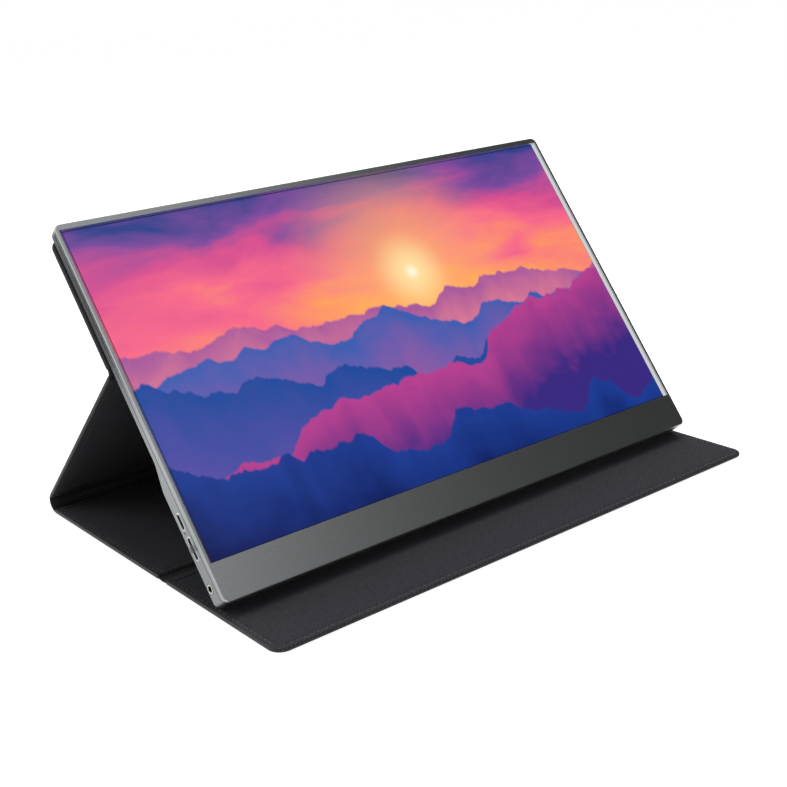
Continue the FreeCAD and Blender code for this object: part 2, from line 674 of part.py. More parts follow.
def magnet_bars(gap):
    """Flat bars as thick as the board at the magnets' places, larger by a gap all round."""
    bars = []
    for x, s in magnet_places():
        bars.append(block(about(x, MAGNET_W + 2 * gap), about(s, MAGNET_H + 2 * gap),
                          (SKIN_T, SKIN_T + STIFFENER_T)))
    return bars


def fold_strip(axis, inner_r, outer_r, start_deg, end_deg):
    """Soft fold strip: part of a ring about a fold axis, as wide as the panels' square ends."""
    half = COVER_W / 2 - FOLD_INSET

    def on_ring(radius, angle):
        """A point of the ring in the strip's left end."""
        turn = math.radians(angle)
        return vec(-half, axis.y + radius * math.cos(turn), axis.z + radius * math.sin(turn))

    middle = (start_deg + end_deg) / 2
    outer = Part.Arc(on_ring(outer_r, start_deg), on_ring(outer_r, middle), on_ring(outer_r, end_deg))
    inner = Part.Arc(on_ring(inner_r, end_deg), on_ring(inner_r, middle), on_ring(inner_r, start_deg))
    edges = [outer.toShape(), Part.makeLine(on_ring(outer_r, end_deg), on_ring(inner_r, end_deg)),
             inner.toShape(), Part.makeLine(on_ring(inner_r, start_deg), on_ring(outer_r, start_deg))]
    return Part.Face(Part.Wire(edges)).extrude(vec(2 * half, 0, 0))


def rear_fold():
    """Soft bend on the table between the floor and the strut."""
    outer_r = REAR_FOLD_R + COVER_T / 2
    return fold_strip(REAR_AXIS, outer_r - FOLD_T, outer_r, -90.0, 90.0 - math.degrees(STRUT_SLOPE))


def upper_fold():
    """Soft bend between the back panel and the strut."""
    skin_r = UPPER_FOLD_R - COVER_T / 2
    return fold_strip(UPPER_AXIS, skin_r, skin_r + FOLD_T, 90.0 + TILT, 270.0 - math.degrees(STRUT_SLOPE))


def crease_fold():
    """Thin crease strip between the two floor panels."""
    half = COVER_W / 2 - FOLD_INSET
    return block((-half, half), about(FLAP_LENGTH, CREASE_W), (0, FOLD_T))


def stand_monitor(shape):
    """A piece of the monitor, tilted and stood on the floor panel."""
    foot_at = UP_SCREEN * REAR_EDGE_R + OUT_OF_SCREEN * FOOT_N
    shape.rotate(ORIGIN, X_AXIS, TILT)
    shape.translate(FOOT - foot_at + TO_ORIGIN)
    return shape


def lay_panel(shape, start, turn_deg):
    """A flat panel piece, turned about X so that the middle of its thickness starts at a point."""
    shape.translate(vec(0, 0, -COVER_T / 2))
    shape.rotate(ORIGIN, X_AXIS, turn_deg)
    shape.translate(start + TO_ORIGIN)
    return shape


def monitor_pieces():
    """Every piece of the monitor by name, lying on its back."""
    return {
        "front_frame": front_frame(),
        "rear_cover": rear_cover(),
        "case_screws": case_screws(),
        "lcd_panel": lcd_panel(),
        "light_guide": light_guide(),
        "led_bar": led_bar(),
        "panel_tray": panel_tray(),
        "panel_driver_board": panel_driver_board(),
        "side_board": side_board(),
        "main_board": main_board(),
        "link_ribbon": link_ribbon(),
        "display_ribbon": display_ribbon(),
        "usb_c_port_left": usb_shell(-1, USB_LEFT_V),
        "usb_c_port_right": usb_shell(1, USB_RIGHT_V),
        "usb_c_tongues": usb_tongues(),
        "mini_hdmi_port": mini_hdmi_port(),
        "audio_jack": audio_jack(),
        "indicator_light": indicator_light(),
        "jog_wheel": jog_wheel(),
        "jog_carrier": jog_carrier(),
        "jog_switch": jog_switch(),
        "speaker_left": speaker(-1),
        "speaker_right": speaker(1),
        "keeper_plates": keeper_plates(),
    }


def cover_pieces():
    """Every piece of the folio cover by name, in its place."""
    level = vec(0, 0, COVER_T / 2)
    floor_start = FLAP_LENGTH + CREASE_W / 2
    places = {
        "flap": (Panel(FLAP_LENGTH - CREASE_W / 2, low_r=FLAP_CORNER_R), level, 0.0),
        "floor": (Panel(REAR_AXIS_Y - floor_start), level + vec(0, floor_start, 0), 0.0),
        "strut": (Panel(STRUT_LENGTH), REAR_AXIS + STRUT_OUTWARD * REAR_FOLD_R,
                  180.0 - math.degrees(STRUT_SLOPE)),
        "back": (Panel(BACK_LENGTH, high_r=BACK_CORNER_R), UPPER_AXIS + OUT_OF_SCREEN * UPPER_FOLD_R, TILT),
    }
    pieces = {}
    for name, (panel, start, turn_deg) in places.items():
        board = panel.board()
        if name == "back":
            board = cut_all(board, magnet_bars(LAMINATE_GAP))
            magnets = Part.makeCompound(magnet_bars(0.0))
            pieces["cover_magnets"] = lay_panel(magnets, start, turn_deg)
        pieces[name + "_skin"] = lay_panel(panel.skin(), start, turn_deg)
        pieces[name + "_board"] = lay_panel(board, start, turn_deg)
        pieces[name + "_lining"] = lay_panel(panel.lining(), start, turn_deg)
    strips = {"crease_fold": crease_fold(), "rear_fold": rear_fold(), "upper_fold": upper_fold()}
    for name, strip in strips.items():
        strip.translate(TO_ORIGIN)
        pieces[name] = strip
    return pieces


def main():
    """Build every piece and write each to its own file."""
    os.makedirs("parts", exist_ok=True)
    pieces = {name: stand_monitor(shape) for name, shape in monitor_pieces().items()}
    pieces.update(cover_pieces())
    for name, shape in pieces.items():
        shape.exportStep("parts/" + name + ".step")


main()
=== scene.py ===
"""Looks of a portable monitor that stands in its folio cover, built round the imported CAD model.

Sizes are written in millimetres and become metres when a piece is placed. Monitor pieces are drawn in
the screen's own axes: X across, V up the screen from its lower edge, N out of the screen. Cover pieces
are drawn flat: X across, S along the panel, Z from the outer leather to the lining.
"""
import logging
import math
from dataclasses import dataclass, field
from enum import Enum
from typing import Iterator, Optional, Sequence, Union

import bmesh
import bpy
from mathutils import Matrix, Quaternion, Vector


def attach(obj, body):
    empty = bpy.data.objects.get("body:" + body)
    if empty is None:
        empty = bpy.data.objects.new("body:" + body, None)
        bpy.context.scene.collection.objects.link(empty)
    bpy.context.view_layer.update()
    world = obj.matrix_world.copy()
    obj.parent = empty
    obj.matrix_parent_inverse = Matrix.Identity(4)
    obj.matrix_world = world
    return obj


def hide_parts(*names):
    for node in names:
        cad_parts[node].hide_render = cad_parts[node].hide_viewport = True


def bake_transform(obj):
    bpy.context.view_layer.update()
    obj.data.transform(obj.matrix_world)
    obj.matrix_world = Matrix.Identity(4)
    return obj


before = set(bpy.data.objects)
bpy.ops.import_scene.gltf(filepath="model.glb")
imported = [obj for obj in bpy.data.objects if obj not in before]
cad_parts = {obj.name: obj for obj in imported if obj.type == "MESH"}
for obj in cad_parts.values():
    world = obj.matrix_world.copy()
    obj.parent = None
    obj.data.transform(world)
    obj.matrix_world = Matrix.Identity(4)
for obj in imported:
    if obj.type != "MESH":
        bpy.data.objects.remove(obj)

LOG = logging.getLogger("portable_monitor")
MM = 0.001
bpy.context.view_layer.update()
# A wave pattern of scale one repeats after this length.
WAVE_PERIOD = math.tau / 20
# Edges that turn by more than this stay sharp.
SHARP_TURN = math.radians(38.0)
# Vertices nearer than this many millimetres are one.
WELD = 1e-5
# Inputs of a Mix node: its factor, two numbers and two colours, and what makes it blend colours.
FACTOR, LOW, HIGH, FIRST, SECOND = 0, 2, 3, 6, 7
BLEND = {"out": 2, "data_type": "RGBA"}

Colour = tuple[float, float, float, float]
Pair = tuple[float, float]
Triple = tuple[float, float, float]
Loop = list[bmesh.types.BMEdge]
Tree = bpy.types.NodeTree
Node = bpy.types.Node
Socket = bpy.types.NodeSocket
Inputs = Union[dict, Sequence]


class Body(Enum):
    """The moving bodies that pieces ride on."""

    BASE = "base"
    STRUT = "strut"
    BACK = "back_panel"
    MONITOR = "monitor"
    JOG_WHEEL = "jog_wheel"


class Side(Enum):
    """The two side walls, by the direction they face."""

    LEFT = -1
    RIGHT = 1


def channels(hex_colour: str) -> list[int]:
    """Red, green and blue of a colour written as "#rrggbb"."""
    return [int(hex_colour[place:place + 2], 16) for place in (1, 3, 5)]


def linear(hex_colour: str) -> Colour:
    """Turn an sRGB hex colour into linear light.

    Args:
        hex_colour: A colour written as "#rrggbb".

    Returns:
        Linear red, green, blue and a full alpha.
    """
    shares = [channel / 255 for channel in channels(hex_colour)]
    light = [c / 12.92 if c <= 0.04045 else ((c + 0.055) / 1.055) ** 2.4 for c in shares]
    return (light[0], light[1], light[2], 1.0)


def shade(hex_colour: str, factor: float) -> str:
    """Lighten or darken a hex colour.

    Args:
        hex_colour: A colour written as "#rrggbb".
        factor: What each channel is multiplied by.

    Returns:
        The new hex colour.
    """
    return "#" + "".join(f"{min(255, round(channel * factor)):02x}" for channel in channels(hex_colour))


def feed(tree: Tree, node: Node, inputs: Inputs) -> None:
    """Set a node's inputs to values or link them.

    Args:
        tree: The node tree.
        node: The node that is fed.
        inputs: Values or output sockets, in the inputs' order or by input name or number.
    """
    for key, value in inputs.items() if isinstance(inputs, dict) else enumerate(inputs):
        if isinstance(value, Socket):
            tree.links.new(value, node.inputs[key])
        else:
            node.inputs[key].default_value = value


def add_node(tree: Tree, kind: str, inputs: Inputs = (), out: Union[int, str] = 0,
             **settings: object) -> Optional[Socket]:
    """Add a shader node, set its properties and feed its inputs.

    Args:
        tree: The node tree that takes the node.
        kind: The node's type.
        inputs: Values or output sockets, in the inputs' order or by input name or number.
        out: Which of its outputs is wanted.
        settings: The node's own properties.

    Returns:
        That output, or nothing for a node that ends the tree.
    """
    made = tree.nodes.new("ShaderNode" + kind)
    for name, value in settings.items():
        setattr(made, name, value)
    feed(tree, made, inputs)
    return made.outputs[out] if made.outputs else None


def clear_tree(owner: Union[bpy.types.Material, bpy.types.World]) -> Tree:
    """Switch on a material's or a world's nodes and empty their tree.

    Args:
        owner: The material or world.

    Returns:
        Its empty node tree.
    """
    owner.use_nodes = True
    owner.node_tree.nodes.clear()
    return owner.node_tree


def per_mm(size: float) -> float:
    """Texture scale at which a pattern repeats every so many millimetres."""
    return 1 / (size * MM)


@dataclass(frozen=True)
class ScreenPlane:
    """Where the leaning monitor is: its lower front edge and its tilt from the table."""

    low_y: float = -77.963
    low_z: float = 10.158
    tilt_deg: float = 52.0
    middle_v: float = 119.2

    @property
    def tilt(self) -> float:
        """The tilt in radians."""
        return math.radians(self.tilt_deg)

    @property
    def out(self) -> Vector:
        """The direction out of the screen."""
        return Vector((0, -math.sin(self.tilt), math.cos(self.tilt)))

    @property
    def placement(self) -> Matrix:
        """Screen millimetres to metres in the part's frame."""
        move = Matrix.Translation(Vector((0, self.low_y, self.low_z)) * MM)
        return move @ Matrix.Rotation(self.tilt, 4, "X") @ Matrix.Scale(MM, 4)

    def axes(self, tree: Tree, unit: Triple) -> Socket:
        """Place on the screen, from its middle.

        Args:
            tree: The node tree that needs it.
            unit: How many millimetres count as one, across, up and out.

        Returns:
            The place as a vector.
        """
        return add_node(tree, "Mapping", {
            "Vector": add_node(tree, "TexCoord", out="Object"),
            "Location": self.placement @ Vector((0, self.middle_v, 0)), "Rotation": (self.tilt, 0, 0),
            "Scale": tuple(side * MM for side in unit)}, vector_type="TEXTURE")


SCREEN = ScreenPlane()


@dataclass(frozen=True)
class Finish:
    """A surface finish and the material that shows it."""

    name: str
    colour: str
    roughness: float

    def material(self) -> bpy.types.Material:
        """Make the material once, or return the one made before.

        Returns:
            The finish as a Blender material.
        """
        made = bpy.data.materials.get(self.name)
        if made is None:
            made = bpy.data.materials.new(self.name)
            tree = clear_tree(made)
            surface = add_node(tree, "BsdfPrincipled", {"Base Color": linear(self.colour),
                                                        "Roughness": self.roughness})
            add_node(tree, "OutputMaterial", [surface])
            self.dress(tree, surface.node)
        return made

    def dress(self, tree: Tree, shader: Node) -> None:
        """Add this finish's own nodes.

        Args:
            tree: The material's node tree.
            shader: Its Principled shader.
        """
        raise NotImplementedError

    def grade(self, tree: Tree, shader: Node, pattern: Socket, tones: Pair, gloss: tuple[Socket, float],
              relief: Pair) -> tuple[Socket, Socket]:
        """Let a pattern vary the tone, the gloss and the relief.

        Args:
            tree: The material's node tree.
            shader: Its Principled shader.
            pattern: The pattern, from hollows at nought to ridges at one.
            tones: How dark the hollows and how light the ridges are.
            gloss: The pattern that the roughness follows, and how far it goes up and down.
            relief: The relief's strength, and its depth in millimetres.

        Returns:
            The colour and the roughness.
        """
        dark, light = (linear(shade(self.colour, tone)) for tone in tones)
        colour = add_node(tree, "Mix", {FACTOR: pattern, FIRST: dark, SECOND: light}, **BLEND)
        rough = add_node(tree, "MapRange", {"Value": gloss[0], "To Min": self.roughness - gloss[1],
                                            "To Max": min(1.0, self.roughness + gloss[1])})
        bump = add_node(tree, "Bump", {"Height": pattern, "Strength": relief[0], "Distance": relief[1] * MM})
        feed(tree, shader, {"Base Color": colour, "Roughness": rough, "Normal": bump})
        return colour, rough


@dataclass(frozen=True)
class AnodisedAluminium(Finish):
    """Bead-blasted and anodised aluminium: a satin grey with a fine sparkle and a bright polished lip."""

    grain_mm: float = 0.5
    tone_spread: float = 0.16
    gloss_spread: float = 0.06
    relief: Pair = (0.25, 0.02)
    metal: float = 0.92
    bright: str = "#d3d6d8"
    cut_roughness: float = 0.2
    polished_lip: bool = False
    lip_half: Triple = (173.5, 97.8, 1.0)
    slant_facing: Pair = (0.98, 0.94)
    rim_start: float = 1.0052
    rim_share: float = 0.4
    rim_facing: Pair = (0.35, 0.45)

    def dress(self, tree: Tree, shader: Node) -> None:
        """Blast grain over the face, and polish on the slanted lip round the window.

        Args:
            tree: The material's node tree.
            shader: Its Principled shader.
        """
        # The real grit is about 0.1 mm; it is drawn coarser so that it shows.
        grit = add_node(tree, "TexNoise", {
            "Vector": add_node(tree, "TexCoord", out="Object"), "Scale": per_mm(self.grain_mm),
            "Detail": 2.0, "Roughness": 0.6}, "Fac")
        feed(tree, shader, {"Metallic": self.metal})
        tones = (1 - self.tone_spread, 1 + self.tone_spread)
        colour, rough = self.grade(tree, shader, grit, tones, (grit, self.gloss_spread), self.relief)
        if self.polished_lip:
            lip = self.lip_mask(tree)
            polished = {FACTOR: lip, FIRST: colour, SECOND: linear(self.bright)}
            feed(tree, shader, {
                "Base Color": add_node(tree, "Mix", polished, **BLEND),
                "Roughness": add_node(tree, "Mix", {FACTOR: lip, LOW: rough, HIGH: self.cut_roughness})})

    def lip_mask(self, tree: Tree) -> Socket:
        """One on the slanted lip round the window, a little on the outer chamfer, nought elsewhere.

        Args:
            tree: The material's node tree.

        Returns:
            The mask.
        """
        span = add_node(tree, "VectorMath", [SCREEN.axes(tree, self.lip_half)], operation="ABSOLUTE")
        sides = add_node(tree, "SeparateXYZ", [span]).node.outputs
        reach = add_node(tree, "Math", (sides["X"], sides["Y"]), operation="MAXIMUM")
        inside = add_node(tree, "Math", (reach, 1.0), operation="LESS_THAN")
        rim = add_node(tree, "Math", (reach, self.rim_start), operation="GREATER_THAN")
        normal = add_node(tree, "TexCoord", out="Normal")
        facing = add_node(tree, "VectorMath", (normal, SCREEN.out), "Value", operation="DOT_PRODUCT")
        chamfer = add_node(tree, "MapRange", (facing, *self.rim_facing, 0.0, self.rim_share))
        polish = add_node(tree, "Math", (rim, chamfer, inside), operation="MULTIPLY_ADD")
        slant = add_node(tree, "MapRange", (facing, *self.slant_facing))
        return add_node(tree, "Math", (slant, polish), operation="MULTIPLY")


@dataclass(frozen=True)
class Ridge:
    """One range of hills in the picture on the screen: a rough crest whose colour melts into haze below."""

    crest: str
    haze: str
    height: float
    slope: float
    rise: float
    peaks: float
    start: float
    depth: float


@dataclass(frozen=True)
class LitDisplay(Finish):
    """Lit display under matt glass: an even glow of colour with almost no reflection."""

    sky: tuple[tuple[float, str], ...]
    glows: tuple[tuple[str, float, float], ...]
    ridges: tuple[Ridge, ...]
    half_w: float = 172.1
    half_h: float = 96.8
    border: float = 0.25
    gloss_level: float = 0.18
    cloud_streak: Triple = (0.9, 2.6, 1.0)
    cloud_drift: float = 1.3
    sky_span: Pair = (0.4, 1.95)
    sun_place: Triple = (0.3, 0.3, 0.0)
    slope_folds: float = 0.35
    crest_soft: float = 0.008

    def dress(self, tree: Tree, shader: Node) -> None:
        """Evening sky over ranges of hills inside a black border, in the screen's own axes.

        Args:
            tree: The material's node tree.
            shader: Its Principled shader.
        """
        screen = SCREEN.axes(tree, (self.half_h, self.half_h, self.half_h))
        axes = add_node(tree, "SeparateXYZ", [screen]).node.outputs
        across, up = axes["X"], axes["Y"]
        picture = self.paint_sky(tree, screen, up)
        folds = add_node(tree, "TexNoise", {"Vector": screen, "Scale": 4.0, "Detail": 4.0,
                                            "Distortion": 0.6}, "Fac")
        for ridge in self.ridges:
            picture = self.lay_ridge(tree, ridge, across, up, folds, picture)
        edges = []
        for axis, half in ((across, self.half_w), (up, self.half_h)):
            span = add_node(tree, "Math", [axis], operation="ABSOLUTE")
            limit = (half - self.border) / self.half_h
            edges.append(add_node(tree, "Math", (span, limit), operation="GREATER_THAN"))
        rim = add_node(tree, "Math", edges, operation="MAXIMUM")
        framed = add_node(tree, "Mix", {FACTOR: rim, FIRST: picture, SECOND: linear(self.colour)}, **BLEND)
        feed(tree, shader, {"Specular IOR Level": self.gloss_level, "Emission Strength": 1.0,
                            "Emission Color": framed})

    def paint_sky(self, tree: Tree, flat: Socket, up: Socket) -> Socket:
        """Lay the sky: a fade from the horizon upwards, stirred into streaks of cloud, with a low sun.

        Args:
            tree: The material's node tree.
            flat: Place on the screen, in half heights from its middle.
            up: Place up the screen.

        Returns:
            The sky's colour.
        """
        streak = add_node(tree, "Mapping", {"Vector": flat, "Scale": self.cloud_streak})
        cloud = add_node(tree, "TexNoise", {"Vector": streak, "Scale": 1.1, "Detail": 5.0, "Roughness": 0.5,
                                            "Distortion": 0.4}, "Fac")
        stirred = add_node(tree, "Math", (cloud, self.cloud_drift, up), operation="MULTIPLY_ADD")
        picture = add_node(tree, "ValToRGB", [add_node(tree, "MapRange", (stirred, *self.sky_span))])
        stops = picture.node.color_ramp.elements
        for spot, _ in self.sky[len(stops):]:
            stops.new(spot)
        for stop, (spot, colour) in zip(stops, self.sky):
            stop.position = spot
            stop.color = linear(colour)
        away = add_node(tree, "VectorMath", (flat, self.sun_place), "Value", operation="DISTANCE")
        for colour, reach, strength in self.glows:
            near = add_node(tree, "MapRange", (away, reach, 0.0, 0.0, strength),
                            interpolation_type="SMOOTHSTEP")
            picture = add_node(tree, "Mix", {FACTOR: near, FIRST: picture, SECOND: linear(colour)}, **BLEND)
        return picture

    def lay_ridge(self, tree: Tree, ridge: Ridge, across: Socket, up: Socket, folds: Socket,
                  under: Socket) -> Socket:
        """Lay one range of hills over what is there.

        Args:
            tree: The material's node tree.
            ridge: The range's crest and colours.
            across: Place across the screen, in half heights.
            up: Place up the screen, in half heights.
            folds: Uneven pattern of the hillsides.
            under: The colour behind the range.

        Returns:
            The colour with the range on it.
        """
        along = add_node(tree, "Math", (across, ridge.peaks, ridge.start), operation="MULTIPLY_ADD")
        rough = add_node(tree, "TexNoise", {"W": along, "Scale": 1.0, "Detail": 5.0, "Roughness": 0.48},
                         "Fac", noise_dimensions="1D")
        lean = add_node(tree, "Math", (across, ridge.slope, ridge.height), operation="MULTIPLY_ADD")
        crest = add_node(tree, "Math", (rough, ridge.rise, lean), operation="MULTIPLY_ADD")
        below = add_node(tree, "Math", (crest, up), operation="SUBTRACT")
        uneven = add_node(tree, "Math", (folds, self.slope_folds, below), operation="MULTIPLY_ADD")
        deep = add_node(tree, "MapRange", (uneven, self.slope_folds / 2, ridge.depth))
        hues = {FACTOR: deep, FIRST: linear(ridge.crest), SECOND: linear(ridge.haze)}
        edge = add_node(tree, "MapRange", (below, -self.crest_soft, self.crest_soft))
        laid = {FACTOR: edge, FIRST: under, SECOND: add_node(tree, "Mix", hues, **BLEND)}
        return add_node(tree, "Mix", laid, **BLEND)


@dataclass(frozen=True)
class CrossGrainLeather(Finish):
    """Polyurethane leather pressed with a fine diagonal cross grain: dull, with a dry sheen on the ridges.

    The pressing and the handling are given as the size of their patches in millimetres and their detail.
    """

    pitch_mm: float
    light: float
    angle: float = 45.0
    cross_pitch: float = 0.7
    cross_share: float = 0.3
    ridge_top: float = 0.55
    press: Pair = (3.0, 3.0)
    handling: Pair = (60.0, 2.0)
    gloss_spread: float = 0.07
    relief: Pair = (0.9, 0.12)
    gloss_level: float = 0.35
    sheen: float = 0.06
    sheen_roughness: float = 0.45

    def dress(self, tree: Tree, shader: Node) -> None:
        """Two crossing ridge patterns, uneven pressing and a slow change of gloss from handling.

        Args:
            tree: The material's node tree.
            shader: Its Principled shader.
        """
        flat = add_node(tree, "TexCoord", out="UV")
        # The pressed ridges are nearer 0.6 mm apart; they are drawn wider so that they show.
        ridges = []
        for turn, share in ((self.angle, 1.0), (self.angle - 90.0, self.cross_pitch)):
            laid = add_node(tree, "Mapping", {"Vector": flat, "Rotation": (0, 0, math.radians(turn))})
            ridges.append(add_node(tree, "TexWave", {
                "Vector": laid, "Scale": WAVE_PERIOD * per_mm(self.pitch_mm * share), "Distortion": 1.6,
                "Detail": 1.0, "Detail Scale": 0.5}, "Fac"))
        press, handling = (
            add_node(tree, "TexNoise", {"Vector": flat, "Scale": per_mm(size), "Detail": detail}, "Fac")
            for size, detail in (self.press, self.handling))
        main = add_node(tree, "Math", (ridges[0], 1 - self.cross_share), operation="MULTIPLY")
        cross = add_node(tree, "Math", (ridges[1], self.cross_share, main), operation="MULTIPLY_ADD")
        height = add_node(tree, "Math", (press, cross), operation="MULTIPLY")
        pattern = add_node(tree, "MapRange", {"Value": height, "From Max": self.ridge_top})
        feed(tree, shader, {"Specular IOR Level": self.gloss_level, "Sheen Weight": self.sheen,
                            "Sheen Roughness": self.sheen_roughness})
        tones = (1 / self.light, self.light)
        self.grade(tree, shader, pattern, tones, (handling, self.gloss_spread), self.relief)


@dataclass(frozen=True)
class FineGrain(Finish):
    """A plain made surface, such as moulded plastic, plated steel or board, with its own grain and gloss."""

    grain_mm: float
    contrast: float = 0.12
    gloss_share: float = 0.15
    relief: Pair = (0.4, 0.01)
    metal: float = 0.0
    clear: float = 0.0

    def dress(self, tree: Tree, shader: Node) -> None:
        """A fine uneven tone, gloss and relief of the surface's own grain size.

        Args:
            tree: The material's node tree.
            shader: Its Principled shader.
        """
        grain = add_node(tree, "TexNoise", {"Vector": add_node(tree, "TexCoord", out="Object"),
                                            "Scale": per_mm(self.grain_mm), "Detail": 3.0}, "Fac")
        feed(tree, shader, {"Metallic": self.metal, "Transmission Weight": self.clear})
        gloss = (grain, self.roughness * self.gloss_share)
        self.grade(tree, shader, grain, (1 - self.contrast, 1 + self.contrast), gloss, self.relief)


# Anodised shell: blasted satin grey that carries soft reflections, polished bright on its inner lip.
FRAME_METAL = AnodisedAluminium("anodised_aluminium_bead_blasted", "#9b9e9f", 0.34, polished_lip=True)
CASE_METAL = AnodisedAluminium("anodised_aluminium_rear_shell", "#8a8e90", 0.36)
# Lit liquid-crystal panel behind matt glass.
DISPLAY = LitDisplay("lcd_matt_glass_lit", "#020203", 0.32, sky=(
    (0.0, "#ffb45c"), (0.22, "#ff9a5e"), (0.4, "#f7688a"), (0.56, "#d8508f"), (0.72, "#7d4a9c"),
    (0.86, "#33418c"), (1.0, "#1b2458"),
), glows=(("#ffb866", 1.0, 0.75), ("#ffe9a8", 0.32, 0.9), ("#fffbe6", 0.07, 1.0)), ridges=(
    Ridge("#a75a9c", "#e57f92", -0.12, -0.02, 0.5, 1.5, 3.1, 0.5),
    Ridge("#3d5db0", "#a5599f", -0.32, -0.05, 0.62, 1.2, 7.7, 0.85),
    Ridge("#1f4a9c", "#5a4fa6", -0.58, -0.14, 0.6, 1.6, 12.4, 0.8),
    Ridge("#b5408f", "#3a2a80", -0.72, 0.2, 0.78, 1.1, 22.1, 0.7),
    Ridge("#1d3c92", "#0a1550", -0.98, -0.1, 0.55, 1.8, 33.9, 0.7),
))
# Polyurethane leather of the cover, inside and out, and the thread along its turned edge.
COVER_LEATHER = CrossGrainLeather("pu_leather_cross_grain", "#2d2e30", 0.52, pitch_mm=1.8, light=1.35)
COVER_LINING = CrossGrainLeather("pu_lining_diagonal_grain", "#2a2b2f", 0.6, pitch_mm=1.4, light=1.42)
THREAD = FineGrain("polyester_thread_charcoal", "#5c5d61", 0.75, grain_mm=0.3, contrast=0.25)
# Moulded parts are dull black, sockets bright, boards green under their lacquer.
BLACK_PLASTIC = FineGrain("moulded_abs_black", "#141416", 0.5, grain_mm=0.4)
CONTROL_PLASTIC = FineGrain("moulded_abs_grey_control", "#9b9d9e", 0.4, grain_mm=0.3)
SOCKET_STEEL = FineGrain("nickel_plated_steel", "#c4c4c1", 0.22, grain_mm=0.5, contrast=0.08, metal=1.0)
GOLD_CONTACT = FineGrain("gold_plated_contact", "#c79a4a", 0.25, grain_mm=0.2, contrast=0.1, metal=1.0)
SCREW_STEEL = FineGrain("blackened_screw_steel", "#3a3a3b", 0.38, grain_mm=0.3, metal=0.9)
PAN_STEEL = FineGrain("galvanised_sheet_steel", "#8d9092", 0.4, grain_mm=4.0, contrast=0.15, metal=1.0)
CLEAR_ACRYLIC = FineGrain("clear_acrylic", "#e9eef0", 0.08, grain_mm=5.0, contrast=0.02, clear=0.9)
LIGHT_PIPE = FineGrain("smoked_polycarbonate_light_pipe", "#14171b", 0.2, grain_mm=0.5)
BOARD_LAMINATE = FineGrain("glass_epoxy_laminate_green", "#1d4a34", 0.35, grain_mm=1.2)
RIBBON_FILM = FineGrain("polyimide_ribbon_film", "#7a4a1c", 0.3, grain_mm=2.0)
STIFF_BOARD = FineGrain("grey_pulp_board", "#6b6862", 0.9, grain_mm=1.5, relief=(0.4, 0.05))
MAGNET_METAL = FineGrain("nickel_plated_magnet", "#a9aaab", 0.3, grain_mm=1.0, metal=1.0)


